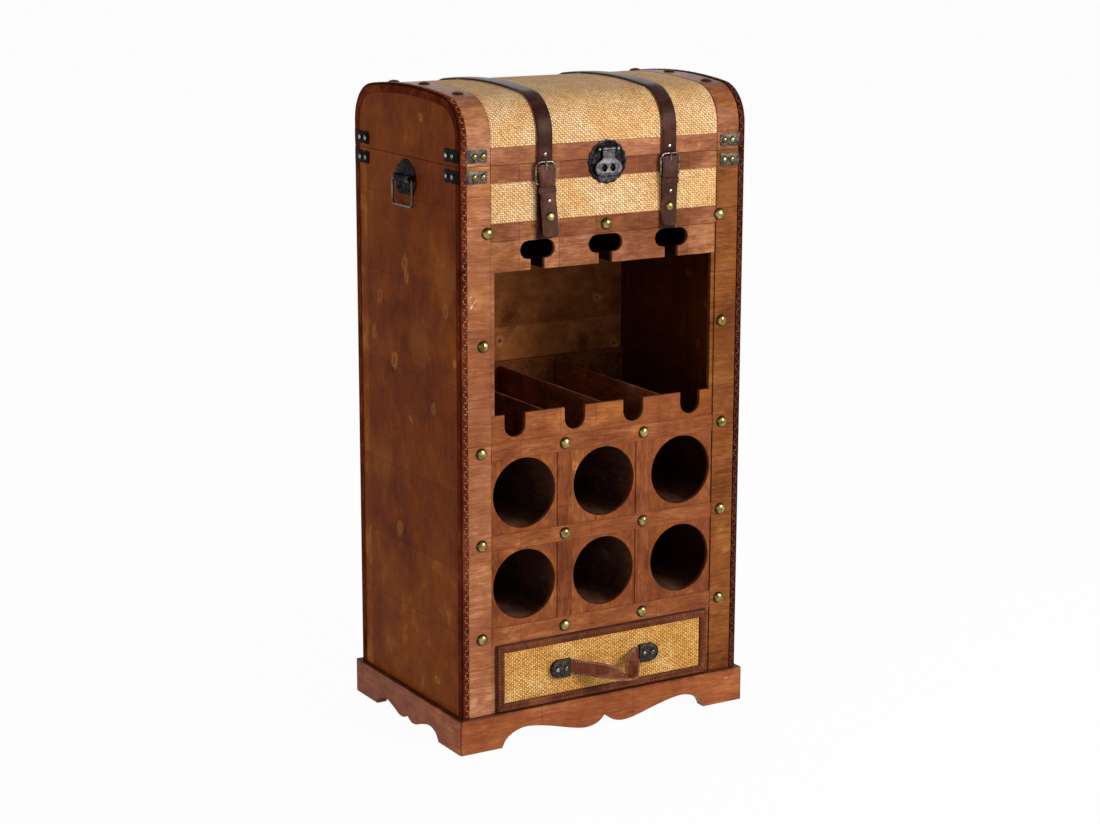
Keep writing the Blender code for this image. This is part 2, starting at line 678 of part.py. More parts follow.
def front_posts(look, root):
    """The uprights of the front: a board that widens beside the openings, faced by a stile."""
    inner = STILE_INNER + FIT
    outline = [(SIDE_OUTER, CARCASS_BOTTOM), (SIDE_OUTER, CARCASS_TOP), (inner, CARCASS_TOP)]
    outline += [(inner, SLOT_PANEL_BOTTOM - FIT), (OPENING_X, SLOT_PANEL_BOTTOM - FIT)]
    outline += [(OPENING_X, CRADLE_TOP + FIT), (inner, CRADLE_TOP + FIT)]
    outline += [(inner, DRAWER_OPENING_TOP), (OPENING_X, DRAWER_OPENING_TOP), (OPENING_X, CARCASS_BOTTOM)]
    heights = (LOWER_BAND_CENTRE, (CRADLE_TOP + SLOT_PANEL_BOTTOM) / 2, UPPER_RAIL_CENTRE)
    heights += (MIDDLE_RAIL_CENTRE, LOWER_RAIL_CENTRE)
    for name, side in (("left", -1), ("right", 1)):
        mesh = bmesh.new()
        prism(mesh, [(side * x, z) for x, z in outline], "Y", BOARD_FRONT, BOARD_REAR)
        made = node("front_post_" + name, mesh, look, root)
        facing = bmesh.new()
        x = sorted((side * inner, side * STILE_OUTER))
        block(facing, x, (0, BOARD_FRONT + SINK), (CARCASS_BOTTOM, CARCASS_TOP))
        for share, z in zip(STILE_NAIL_SHARES, heights):
            x = side * (STILE_INNER + share * STILE_WIDTH)
            nail(facing, (x, 0, z), (0, -1, 0))
        combine(made, facing, "UNION", root)


# Front panels


def keyhole(x, low, high):
    """The edge of a stem slot that widens to the stadium that a glass's foot goes through."""
    radius = GLASS_SLOT_HEIGHT / 2
    reach = GLASS_SLOT_WIDTH / 2 - radius
    meet = high - math.sqrt(radius**2 - max(0, STEM_SLOT / 2 - reach) ** 2)
    edge = [(x - STEM_SLOT / 2, low), (x - STEM_SLOT / 2, meet)]
    edge += arc((x - reach, high), radius, -math.pi / 2, -math.pi * 3 / 2, ROUND_SIDES // 2)
    edge += arc((x + reach, high), radius, math.pi / 2, -math.pi / 2, ROUND_SIDES // 2)
    return edge + [(x + STEM_SLOT / 2, meet), (x + STEM_SLOT / 2, low)]


def glass_slot_panel(look, root):
    """The board over the glass opening, with the two wooden bands that frame the straw."""
    mesh = bmesh.new()
    outline = [(STILE_INNER, CARCASS_TOP), (-STILE_INNER, CARCASS_TOP), (-STILE_INNER, SLOT_PANEL_BOTTOM)]
    for column in (-1, 0, 1):
        outline += keyhole(column * GLASS_PITCH, SLOT_PANEL_BOTTOM, SLOT_PANEL_BOTTOM + GLASS_SLOT_RISE)
    outline.append((STILE_INNER, SLOT_PANEL_BOTTOM))
    prism(mesh, outline, "Y", BOARD_FRONT, BOARD_REAR)
    made = node("glass_slot_panel", mesh, look, root)
    bands = bmesh.new()
    for low, height in ((LOWER_BAND_BOTTOM, LOWER_BAND), (UPPER_BAND_BOTTOM, UPPER_BAND)):
        block(bands, (-BAND_X, BAND_X), (0, BOARD_FRONT + SINK), (low, low + height))
    nail(bands, (0, 0, LOWER_BAND_CENTRE), (0, -1, 0))
    combine(made, bands, "UNION", root)


def glass_hanger(look, root):
    """The board whose slots take the stems, so that the feet of the glasses rest on it."""
    mesh = bmesh.new()
    outline = [(INNER_X, INNER_REAR), (-INNER_X, INNER_REAR), (-INNER_X, INNER_FRONT)]
    end = INNER_FRONT + STEM_SLOT_DEPTH
    for column in (-1, 0, 1):
        x = column * GLASS_PITCH
        outline.append((x - STEM_SLOT / 2, INNER_FRONT))
        outline += arc((x, end), STEM_SLOT / 2, math.pi, 0, ROUND_SIDES // 2)
        outline.append((x + STEM_SLOT / 2, INNER_FRONT))
    outline.append((INNER_X, INNER_FRONT))
    prism(mesh, outline, "Z", SLOT_PANEL_BOTTOM, SLOT_PANEL_BOTTOM + GLASS_HANGER)
    node("glass_hanger", mesh, look, root)


def cradle_front(look, root):
    """The low board whose notches carry the bottles' necks."""
    mesh = bmesh.new()
    bottom = UPPER_RAIL_CENTRE + FIT / 2
    outline = [(-STILE_INNER, CRADLE_TOP), (-STILE_INNER, bottom)]
    outline += [(STILE_INNER, bottom), (STILE_INNER, CRADLE_TOP)]
    radius = NECK_NOTCH_WIDTH / 2
    for column in (3, 1, -1, -3):
        x = column * NOTCH_PITCH / 2
        outline.append((x + radius, CRADLE_TOP))
        outline += arc((x, CRADLE_TOP - NECK_NOTCH_DEPTH + radius), radius, 0, -math.pi, ROUND_SIDES)
        outline.append((x - radius, CRADLE_TOP))
    prism(mesh, outline, "Y", BOARD_FRONT, BOARD_REAR)
    node("cradle_front", mesh, look, root)


def hole_panel(name, look, root, low, high, row_z):
    mesh = bmesh.new()
    block(mesh, (-STILE_INNER, STILE_INNER), (BOARD_FRONT, BOARD_REAR), (low, high))
    panel = node(name, mesh, look, root)
    cutters = bmesh.new()
    for column in (-1, 0, 1):
        start = (column * HOLE_PITCH, BOARD_FRONT - RUN_OUT, row_z)
        end = (column * HOLE_PITCH, BOARD_REAR + RUN_OUT, row_z)
        rod(cutters, HOLE_DIAMETER / 2, start, end, HOLE_SIDES)
    combine(panel, cutters, "DIFFERENCE", root)


def bottle_face_grid(look, root):
    """The facing round the holes: three rails, short uprights between the columns, and nails."""
    mesh = bmesh.new()
    block(mesh, (-BAND_X, BAND_X), (0, VENEER), (LOWER_RAIL_BOTTOM, CRADLE_FACE_BOTTOM))
    made = node("bottle_face_grid", mesh, look, root)
    windows = bmesh.new()
    near = HOLE_PITCH / 2 - MUNTIN_WIDTH / 2
    far = HOLE_PITCH / 2 + MUNTIN_WIDTH / 2
    end = BAND_X + RUN_OUT
    columns = ((-end, -far), (-near, near), (far, end))
    for low, high in ((LOWER_BAY_BOTTOM, MIDDLE_RAIL_BOTTOM), (UPPER_BAY_BOTTOM, UPPER_RAIL_BOTTOM)):
        for x in columns:
            block(windows, x, (-RUN_OUT, VENEER + RUN_OUT), (low, high))
    combine(made, windows, "DIFFERENCE", root)
    nails = bmesh.new()
    for z in (LOWER_RAIL_CENTRE, MIDDLE_RAIL_CENTRE, UPPER_RAIL_CENTRE):
        for side in (-1, 1):
            nail(nails, (side * HOLE_PITCH / 2, 0, z), (0, -1, 0))
    combine(made, nails, "UNION", root)


def body_straw_panel(look, root):
    mesh = bmesh.new()
    z = (STRAW_BOTTOM, STRAW_BOTTOM + STRAW_BAND)
    block(mesh, (-BAND_X, BAND_X), (STRAW_RECESS, STRAW_RECESS + STRAW), z)
    node("body_straw_panel", mesh, look, root)


# Inside


def level_board(name, look, root, low, thickness):
    """A board that fills the carcass from side to side and front to back."""
    mesh = bmesh.new()
    block(mesh, (-INNER_X, INNER_X), (INNER_FRONT, INNER_REAR), (low, low + thickness))
    node(name, mesh, look, root)


def cradle_dividers(look, root):
    """Thin partitions between the lying bottles, joined by a rail along the back."""
    mesh = bmesh.new()
    low = CRADLE_FLOOR_TOP + FIT
    rail_front = INNER_REAR - SHELF_BOARD
    block(mesh, (-INNER_X, INNER_X), (rail_front, INNER_REAR), (low, CRADLE_TOP + BACK_RAIL_RISE))
    made = node("cradle_dividers", mesh, look, root)
    dividers = bmesh.new()
    for column in (-1, 0, 1):
        x = (column * NOTCH_PITCH - DIVIDER_BOARD / 2, column * NOTCH_PITCH + DIVIDER_BOARD / 2)
        block(dividers, x, (INNER_FRONT, rail_front + SINK), (low, CRADLE_TOP - FIT))
    combine(made, dividers, "UNION", root)


def bottle_rack(look, root):
    """The shelf and the two partitions that part the six bottle bays, glued into one rack."""
    low = LOWER_SHELF_TOP + FIT
    high = CRADLE_FLOOR_BOTTOM - FIT
    shelf_low = UPPER_SHELF_TOP - SHELF_BOARD
    under = [(-INNER_X, shelf_low)]
    over = [(INNER_X, UPPER_SHELF_TOP)]
    for side in (-1, 1):
        for edge in (-SHELF_BOARD / 2, SHELF_BOARD / 2):
            x = side * HOLE_PITCH / 2 + edge
            pair = [(x, shelf_low), (x, low)]
            under += pair if edge < 0 else pair[::-1]
            pair = [(-x, UPPER_SHELF_TOP), (-x, high)]
            over += pair if edge < 0 else pair[::-1]
    under.append((INNER_X, shelf_low))
    over.append((-INNER_X, UPPER_SHELF_TOP))
    mesh = bmesh.new()
    prism(mesh, under + over, "Y", INNER_FRONT, INNER_REAR)
    node("bottle_rack", mesh, look, root)


# Leather bindings and corner brackets


def bracket_outline(start, length, low):
    """A bracket leaf, wavy at its free end. A negative length runs the other way."""
    shares = ((0, 1), (0, 0)) + BRACKET_END_SHARES
    return [(start + length * along, low + BRACKET_HEIGHT * up) for along, up in shares]


def corner_bracket(mesh, side, low, face, depth_way):
    """The two leaves of one corner's bracket, with their nails, sunk into the leather's edge."""
    middle = low + BRACKET_HEIGHT / 2
    outward = -depth_way
    face_start = BINDING_INNER + SINK
    leaf_face = face + outward * FIT
    outline = bracket_outline(side * face_start, -side * (BRACKET_FRONT_LENGTH + SINK), low)
    prism(mesh, outline, "Y", leaf_face, leaf_face + outward * BRACKET)
    side_face = HALF_BODY - BINDING_SIDE / 2
    side_start = face + depth_way * BRACKET_SIDE_SETBACK
    outline = bracket_outline(side_start, depth_way * BRACKET_SIDE_LENGTH, low)
    prism(mesh, outline, "X", side * side_face, side * (side_face + BRACKET))
    for share in BRACKET_NAIL_SHARES:
        x = side * (face_start - share * BRACKET_FRONT_LENGTH)
        base = (x, leaf_face + outward * BRACKET, middle)
        stud(mesh, SMALL_NAIL_RADIUS, SMALL_NAIL_HEIGHT, base, (0, outward, 0), SMALL_NAIL_SIDES)
        y = side_start + depth_way * share * BRACKET_SIDE_LENGTH
        base = (side * (side_face + BRACKET), y, middle)
        stud(mesh, SMALL_NAIL_RADIUS, SMALL_NAIL_HEIGHT, base, (side, 0, 0), SMALL_NAIL_SIDES)


def body_edge_bindings(look, root):
    """Angle strips of leather round the front's upright edges, with the corner brackets."""
    side_face = HALF_BODY - BINDING_SIDE
    section = [(BINDING_INNER, -BINDING_PROUD), (HALF_BODY, -BINDING_PROUD), (HALF_BODY, BINDING_SIDE_WIDTH)]
    section += [(side_face, BINDING_SIDE_WIDTH), (side_face, VENEER), (BINDING_INNER, VENEER)]
    low = SEAM_HEIGHT - BRACKET_SEAM_GAP - BRACKET_HEIGHT
    for name, side in (("left", -1), ("right", 1)):
        mesh = bmesh.new()
        prism(mesh, [(side * x, y) for x, y in section], "Z", CARCASS_BOTTOM, CARCASS_TOP)
        made = node("body_edge_binding_" + name, mesh, look, root)
        bracket = bmesh.new()
        corner_bracket(bracket, side, low, 0, 1)
        combine(made, bracket, "UNION", root)


# Hinges


def hinge_tab(mesh, x, way):
    """The part of a leaf that runs up to the barrel, between two ends along the hinge."""
    z = sorted((SEAM_HEIGHT, SEAM_HEIGHT + way * (HINGE_BARREL_RADIUS + HINGE_LEAF)))
    block(mesh, x, (REAR_FACE, REAR_FACE + HINGE_LEAF), z)


def hinge_leaf(name, x, look, axis, way):
    """A leaf's plate against the back, clear of the other leaf's barrel."""
    mesh = bmesh.new()
    half = HINGE_LENGTH / 2
    z = sorted((SEAM_HEIGHT + way * (HINGE_BARREL_RADIUS + FIT), SEAM_HEIGHT + way * HINGE_LEAF_HEIGHT))
    block(mesh, (x - half, x + half), (REAR_FACE, REAR_FACE + HINGE_LEAF), z)
    return node(name, mesh, look, axis)


def body_hinges(look, root):
    """The fixed leaves, with two outer barrels each and the pin through them."""
    half = HINGE_LENGTH / 2
    inner = HINGE_LENGTH * HINGE_KNUCKLE_SHARE / 2
    for name, side in (("left", -1), ("right", 1)):
        x = side * HINGE_X
        made = hinge_leaf("hinge_leaf_body_" + name, x, look, root, -1)
        barrels = bmesh.new()
        for ends in ((x - half, x - inner), (x + inner, x + half)):
            hinge_tab(barrels, ends, -1)
            start = (ends[0], HINGE_Y, SEAM_HEIGHT)
            rod(barrels, HINGE_BARREL_RADIUS, start, (ends[1], HINGE_Y, SEAM_HEIGHT))
        pin_end = half - SINK
        start = (x - pin_end, HINGE_Y, SEAM_HEIGHT)
        rod(barrels, HINGE_PIN_RADIUS, start, (x + pin_end, HINGE_Y, SEAM_HEIGHT))
        combine(made, barrels, "UNION", root)


def lid_hinges(look, axis):
    """The lid's leaves, each rolled into one bored barrel between the fixed ones."""
    inner = HINGE_LENGTH * HINGE_KNUCKLE_SHARE / 2 - FIT
    for name, side in (("left", -1), ("right", 1)):
        x = side * HINGE_X
        made = hinge_leaf("hinge_leaf_lid_" + name, x, look, axis, 1)
        barrel = bmesh.new()
        hinge_tab(barrel, (x - inner, x + inner), 1)
        ends = ((x - inner, HINGE_Y, SEAM_HEIGHT), (x + inner, HINGE_Y, SEAM_HEIGHT))
        rod(barrel, HINGE_BARREL_RADIUS, *ends)
        combine(made, barrel, "UNION", axis)
        bore = bmesh.new()
        ends = ((x - inner - RUN_OUT, HINGE_Y, SEAM_HEIGHT), (x + inner + RUN_OUT, HINGE_Y, SEAM_HEIGHT))
        rod(bore, HINGE_BORE_RADIUS, *ends)
        combine(made, bore, "DIFFERENCE", axis)


# Lid


def lid_boards(look, axis):
    """The end boards and the bent board between them."""
    inset = BOARD_FRONT + LID_SHELL + FIT
    outline = lid_profile(inset, LID_BOTTOM, LID_BOTTOM)
    for name, side in (("left", -1), ("right", 1)):
        mesh = bmesh.new()
        prism(mesh, outline, "X", side * SIDE_INNER, side * SIDE_OUTER)
        node("lid_end_" + name, mesh, look, axis)
    mesh = bmesh.new()
    lid_wrap(mesh, flat_section(-SIDE_OUTER, SIDE_OUTER, BOARD_FRONT, BOARD_FRONT + LID_SHELL))
    node("lid_shell", mesh, look, axis)


def lid_straw_cover(look, axis):
    mesh = bmesh.new()
    edge_z = LID_BOTTOM + LID_BAND + FIT
    section = flat_section(-BAND_X, BAND_X, STRAW_RECESS, STRAW_RECESS + STRAW)
    lid_wrap(mesh, section, edge_z, edge_z)
    node("lid_straw_cover", mesh, look, axis, smooth=True)


def lid_facing(look, axis):
    """The wood round the straw: a strip over each end, bands at front and back, and nails."""
    mesh = bmesh.new()
    lid_wrap(mesh, flat_section(STILE_INNER, STILE_OUTER, 0, VENEER))
    made = node("lid_facing", mesh, look, axis, smooth=True)
    rest = bmesh.new()
    lid_wrap(rest, flat_section(-STILE_OUTER, -STILE_INNER, 0, VENEER))
    reach = STILE_INNER + SINK
    for y in ((0, VENEER), (BODY_DEPTH - VENEER, BODY_DEPTH)):
        block(rest, (-reach, reach), y, (LID_BOTTOM, LID_BOTTOM + LID_BAND))
    crown_radius, crown_z = lid_crown()
    for side in (-1, 1):
        for share in LID_NAIL_SHARES:
            y = share * BODY_DEPTH
            up = Vector((0, y - MIDDLE_Y, math.sqrt(crown_radius**2 - (y - MIDDLE_Y) ** 2)))
            base = (side * (STILE_INNER + STILE_WIDTH / 2), y, crown_z + up.z)
            nail(rest, base, up.normalized())
    combine(made, rest, "UNION", axis)


def lid_edge_bindings(look, axis):
    """Angle strips of leather over the lid's two arched edges, with the corner brackets."""
    side_face = HALF_BODY - BINDING_SIDE
    section = [(BINDING_INNER, -BINDING_PROUD), (HALF_BODY, -BINDING_PROUD), (HALF_BODY, BINDING_SIDE_WIDTH)]
    section += [(side_face, BINDING_SIDE_WIDTH), (side_face, VENEER), (BINDING_INNER, VENEER)]
    low = SEAM_HEIGHT + BRACKET_SEAM_GAP
    for name, side in (("left", -1), ("right", 1)):
        mesh = bmesh.new()
        lid_wrap(mesh, [(side * x, offset) for x, offset in section])
        made = node("lid_edge_binding_" + name, mesh, look, axis, smooth=True)
        brackets = bmesh.new()
        corner_bracket(brackets, side, low, 0, 1)
        corner_bracket(brackets, side, low, BODY_DEPTH, -1)
        combine(made, brackets, "UNION", axis)


# Lock


def lock_outline(way, edge_z):
    """The scalloped round plate's outline above or below a level edge."""
    rise = way * (edge_z - LOCK_CENTRE_Z)
    start = math.asin(rise / LOCK_RADIUS)
    points = []
    steps = LOCK_LOBES * 2
    for step in range(steps + 1):
        angle = start + (math.pi - 2 * start) * step / steps
        bite = LOCK_LOBE_DEPTH * (step % 2)
        radius = LOCK_RADIUS - bite
        points.append((radius * math.cos(angle), LOCK_CENTRE_Z + way * radius * math.sin(angle)))
    points[0] = (points[0][0], edge_z)
    points[-1] = (points[-1][0], edge_z)
    return points


def lock_plate_lower(look, root):
    """The plate's lower part, with the two posts that the hasp's holes pass over."""
    mesh = bmesh.new()
    prism(mesh, lock_outline(-1, CARCASS_TOP), "Y", -FIT, LOCK_FACE)
    made = node("lock_plate_lower", mesh, look, root)
    posts = bmesh.new()
    hasp_back = LOCK_PIN_Y + HASP / 2
    z = LOCK_PIN_Z - HASP_HOLE_DROP
    for side in (-1, 1):
        x = side * HASP_HOLE_X
        rod(posts, POST_RADIUS, (x, LOCK_FACE + SINK, z), (x, hasp_back + POST_STANDOFF, z))
    combine(made, posts, "UNION", root)


def lock_plate_upper(look, axis):
    """The plate's upper part, with the ears and the ball-ended pin that carry the hasp."""
    mesh = bmesh.new()
    prism(mesh, lock_outline(1, LID_BOTTOM), "Y", -FIT, LOCK_FACE)
    made = node("lock_plate_upper", mesh, look, axis)
    ears = bmesh.new()
    inner = HASP_TUBE_LENGTH / 2 + FIT + FIT
    for side in (-1, 1):
        pin = (LOCK_PIN_Y, LOCK_PIN_Z)
        outline = arc(pin, LOCK_EAR_RADIUS, math.pi * 3 / 2, math.pi / 2, ROUND_SIDES // 2)
        outline += [(LOCK_FACE + SINK, LOCK_PIN_Z + way * LOCK_EAR_RADIUS) for way in (1, -1)]
        prism(ears, outline, "X", side * inner, side * (inner + LOCK_EAR))
    half = LOCK_PIN_LENGTH / 2
    rod(ears, LOCK_PIN_RADIUS, (-half, LOCK_PIN_Y, LOCK_PIN_Z), (half, LOCK_PIN_Y, LOCK_PIN_Z))
    for side in (-1, 1):
        start = (side * (inner + LOCK_EAR - SINK), LOCK_PIN_Y, LOCK_PIN_Z)
        rod(ears, LOCK_BALL_RADIUS, start, (side * half, LOCK_PIN_Y, LOCK_PIN_Z))
    combine(made, ears, "UNION", axis)


def lock_hasp(look, axis):
    """The hasp: a bored tube on the pin and a plate that hangs down over the posts."""
    mesh = bmesh.new()
    half = [(HASP_BULB_WIDTH / 2 * across, LOCK_PIN_Z - HASP_LENGTH * down) for across, down in HASP_SHARES]
    outline = half + [(-x, z) for x, z in reversed(half)]
    front = LOCK_PIN_Y - HASP / 2
    prism(mesh, outline, "Y", front, front + HASP)
    made = node("lock_hasp", mesh, look, axis)
    holes = bmesh.new()
    z = LOCK_PIN_Z - HASP_HOLE_DROP
    for side in (-1, 1):
        oval = arc((side * HASP_HOLE_X, 0), HASP_HOLE_WIDTH / 2, 0, math.tau, ROUND_SIDES)[:-1]
        stretched = [(x, z + up * HASP_HOLE_HEIGHT / HASP_HOLE_WIDTH) for x, up in oval]
        prism(holes, stretched, "Y", front - RUN_OUT, front + HASP + RUN_OUT)
    combine(made, holes, "DIFFERENCE", axis)
    half = HASP_TUBE_LENGTH / 2
    barrel = bmesh.new()
    rod(barrel, HASP_TUBE_RADIUS, (-half, LOCK_PIN_Y, LOCK_PIN_Z), (half, LOCK_PIN_Y, LOCK_PIN_Z))
    combine(made, barrel, "UNION", axis)
    bore = bmesh.new()
    reach = half + RUN_OUT
    rod(bore, HASP_BORE_RADIUS, (-reach, LOCK_PIN_Y, LOCK_PIN_Z), (reach, LOCK_PIN_Y, LOCK_PIN_Z))
    combine(made, bore, "DIFFERENCE", axis)


# Straps


def lid_straps(look, axis):
    for name, side in (("left", -1), ("right", 1)):
        mesh = bmesh.new()
        x = side * STRAP_X
        section = flat_section(x - STRAP_WIDTH / 2, x + STRAP_WIDTH / 2, STRAP_OFFSET - STRAP, STRAP_OFFSET)
        lid_wrap(mesh, section, SEAM_HEIGHT - STRAP_FRONT_DROP, SEAM_HEIGHT + STRAP_REAR_RISE)
        node("lid_strap_" + name, mesh, look, axis, smooth=True)


def strap_anchors(look, root):
    """The short straps on the body that the loose ends snap to."""
    for name, side in (("left", -1), ("right", 1)):
        mesh = bmesh.new()
        x = (side * STRAP_X - STRAP_WIDTH / 2, side * STRAP_X + STRAP_WIDTH / 2)
        top = SEAM_HEIGHT - ANCHOR_SEAM_DROP
        block(mesh, x, (STRAP_OFFSET - STRAP, STRAP_OFFSET), (top - ANCHOR_LENGTH, top))
        node("strap_anchor_" + name, mesh, look, root)


def strap_buckles(look, axis):
    """A D-shaped wire frame in front of the strap, and the prong where it shows over the loose end."""
    y = STRAP_OFFSET - STRAP - BUCKLE_STANDOFF
    reach = STRAP_WIDTH / 2 + BUCKLE_CLEARANCE + BUCKLE_WIRE_RADIUS
    top = SEAM_HEIGHT + BUCKLE_TOP_RISE
    bar = SEAM_HEIGHT - BUCKLE_BAR_DROP
    corner = reach / 2
    foot = BUCKLE_WIRE_RADIUS
    for name, side in (("left", -1), ("right", 1)):
        x = side * STRAP_X
        right = x + reach
        left = x - reach
        path = arc((right - corner, top - corner), corner, 0, math.pi / 2, BEND_STEPS)
        path += arc((left + corner, top - corner), corner, math.pi / 2, math.pi, BEND_STEPS)
        path += arc((left + foot, bar + foot), foot, math.pi, math.pi * 3 / 2, CURVE_STEPS)
        path += arc((right - foot, bar + foot), foot, -math.pi / 2, 0, CURVE_STEPS)
        mesh = bmesh.new()
        tube(mesh, [(a, y, b) for a, b in path], BUCKLE_WIRE_RADIUS, WIRE_SIDES, closed=True)
        made = node("strap_buckle_" + name, mesh, look, axis, smooth=True)
        prong = bmesh.new()
        rod(prong, PRONG_RADIUS, (x, y, SEAM_HEIGHT - TIP_TOP_DROP + FIT), (x, y, top), WIRE_SIDES)
        combine(made, prong, "UNION", axis)


def tip_curve(shares):
    """Points down a strap's loose end: how far down, and the Y of its middle."""
    lie = STRAP_OFFSET - STRAP - FIT - STRAP / 2
    bar_y = STRAP_OFFSET - STRAP - BUCKLE_STANDOFF - BUCKLE_WIRE_RADIUS - FIT - STRAP / 2
    runs = [(down * TIP_LENGTH, lie + (bar_y - lie) * out) for down, out in shares]
    return smooth_run(runs, CURVE_STEPS)


def along_tip(curve, down):
    """The Y of the strap's middle at a drop, and the direction out of its face there."""
    for (start, y_start), (end, y_end) in zip(curve, curve[1:]):
        if down <= end:
            break
    slope = (y_end - y_start) / (end - start)
    return y_start + slope * (down - start), Vector((0, -1, slope)).normalized()


def strap_tips(look, axis):
    """The loose ends: the right one lies snapped down, the left one hangs off below the keeper."""
    top = SEAM_HEIGHT - TIP_TOP_DROP
    studs = ((SMALL_STUD_SHARE, SMALL_STUD_RADIUS, SMALL_STUD_HEIGHT),)
    studs += ((LARGE_STUD_SHARE, LARGE_STUD_RADIUS, LARGE_STUD_HEIGHT),)
    for name, side, shares, drift in (
        ("left", -1, LOOSE_TIP_SHARES, LOOSE_TIP_DRIFT),
        ("right", 1, SNAPPED_TIP_SHARES, 0),
    ):
        curve = tip_curve(shares)

        def station(down):
            y, outward = along_tip(curve, down)
            beyond = max(0, down - TIP_LENGTH + TIP_END_ROUND) / TIP_END_ROUND
            aside = drift * down / TIP_LENGTH
            centre = Vector((side * STRAP_X + aside, y, top - down))
            return centre, Vector((1, 0, 0)), outward, 1 - TIP_TAPER_SHARE * beyond**2

        mesh = bmesh.new()
        drops = [down for down, y in curve[:-1] if down < TIP_LENGTH - TIP_END_ROUND]
        drops += [TIP_LENGTH + (share - 1) * TIP_END_ROUND for share in TIP_ROUND_SHARES]
        ribbon(mesh, [station(down) for down in drops], STRAP_WIDTH, STRAP)
        made = node("strap_tip_" + name, mesh, look, axis, smooth=True)
        extras = bmesh.new()
        keeper_ends = (KEEPER_DROP - KEEPER_HEIGHT / 2, KEEPER_DROP + KEEPER_HEIGHT / 2)
        stations = [station(down) for down in keeper_ends]
        ribbon(extras, stations, STRAP_WIDTH + 2 * KEEPER, STRAP + 2 * KEEPER)
        for share, radius, height in studs:
            centre, across, outward, taper = station(share * TIP_LENGTH)
            stud(extras, radius, height, centre + outward * STRAP / 2, outward, NAIL_SIDES)
        combine(made, extras, "UNION", axis)


# Side handles


def side_handle_plates(look, root):
    """Arched plates on the sides, each with a bored barrel across it for the bail."""
    low = SIDE_HANDLE_Z - SIDE_PLATE_DROP
    shares = SIDE_PLATE_SHARES + tuple((-across, up) for across, up in reversed(SIDE_PLATE_SHARES))
    half_width = SIDE_PLATE_WIDTH / 2
    outline = [(MIDDLE_Y + half_width * across, low + SIDE_PLATE_HEIGHT * up) for across, up in shares]
    half = SIDE_BARREL_LENGTH / 2
    for name, side in (("left", -1), ("right", 1)):
        mesh = bmesh.new()
        inner = SIDE_OUTER + FIT
        prism(mesh, outline, "X", side * inner, side * (inner + SIDE_PLATE))
        made = node("side_handle_plate_" + name, mesh, look, root)
        centre = Vector((side * SIDE_BARREL_X, MIDDLE_Y, SIDE_HANDLE_Z))
        reach = Vector((0, half, 0))
        barrel = bmesh.new()
        rod(barrel, SIDE_BARREL_RADIUS, centre - reach, centre + reach)
        combine(made, barrel, "UNION", root)
        reach = Vector((0, half + RUN_OUT, 0))
        bore = bmesh.new()
        rod(bore, SIDE_BORE_RADIUS, centre - reach, centre + reach)
        combine(made, bore, "DIFFERENCE", root)


def side_handle_bails(look, root):
    """Bent wire handles whose ends turn into the barrels."""
    half = BAIL_WIDTH / 2
    top = SIDE_HANDLE_Z
    bottom = SIDE_HANDLE_Z - BAIL_DROP
    for name, side in (("left", -1), ("right", 1)):
        x = side * SIDE_BARREL_X
        axis = axis_empty("side_handle_axis_" + name, (x, MIDDLE_Y, SIDE_HANDLE_Z), root)
        run = [(SIDE_BARREL_LENGTH / 2 - BAIL_TENON, top)]
        shoulder = (half - BAIL_SHOULDER, top - BAIL_SHOULDER)
        run += arc(shoulder, BAIL_SHOULDER, math.pi / 2, 0, SMALL_BEND_STEPS)
        corner = (half - BAIL_BEND, bottom + BAIL_BEND)
        run += arc(corner, BAIL_BEND, 0, -math.pi / 2, BEND_STEPS)
        run += [(-a, b) for a, b in reversed(run)]
        mesh = bmesh.new()
        tube(mesh, [(x, MIDDLE_Y + a, b) for a, b in run], BAIL_WIRE_RADIUS, WIRE_SIDES)
        node("side_handle_bail_" + name, mesh, look, axis, smooth=True)


# Drawer


def drawer_box(look, axis):
    """Front, grooved sides, back and the thin bottom that slides in from behind."""
    mesh = bmesh.new()
    y = (DRAWER_FACE_Y, DRAWER_FACE_Y + DRAWER_FRONT_BOARD)
    block(mesh, (-DRAWER_X, DRAWER_X), y, (DRAWER_BOTTOM_Z, DRAWER_TOP_Z))
    node("drawer_front", mesh, look, axis)

    side_top = CARCASS_BOTTOM + DRAWER_SIDE_HEIGHT
    groove_x = DRAWER_SIDE_INNER + DRAWER_GROOVE
    groove_low = DRAWER_BOTTOM_LOW - FIT
    groove_high = DRAWER_BOTTOM_LOW + DRAWER_BOTTOM + FIT
    outline = [(DRAWER_SIDE_OUTER, CARCASS_BOTTOM), (DRAWER_SIDE_OUTER, side_top)]
    outline.append((DRAWER_SIDE_INNER, side_top))
    outline += [(DRAWER_SIDE_INNER, groove_high), (groove_x, groove_high), (groove_x, groove_low)]
    outline += [(DRAWER_SIDE_INNER, groove_low), (DRAWER_SIDE_INNER, CARCASS_BOTTOM)]
    for name, side in (("left", -1), ("right", 1)):
        mesh = bmesh.new()
        prism(mesh, [(side * x, z) for x, z in outline], "Y", DRAWER_BOX_FRONT, DRAWER_DEPTH)
        node("drawer_side_" + name, mesh, look, axis)

    mesh = bmesh.new()
    reach = DRAWER_SIDE_INNER - FIT
    y = (DRAWER_DEPTH - DRAWER_SIDE_BOARD, DRAWER_DEPTH)
    block(mesh, (-reach, reach), y, (groove_high, side_top))
    node("drawer_back", mesh, look, axis)

    mesh = bmesh.new()
    reach = groove_x - FIT
    z = (DRAWER_BOTTOM_LOW, DRAWER_BOTTOM_LOW + DRAWER_BOTTOM)
    block(mesh, (-reach, reach), (DRAWER_BOX_FRONT, DRAWER_DEPTH), z)
    node("drawer_bottom", mesh, look, axis)


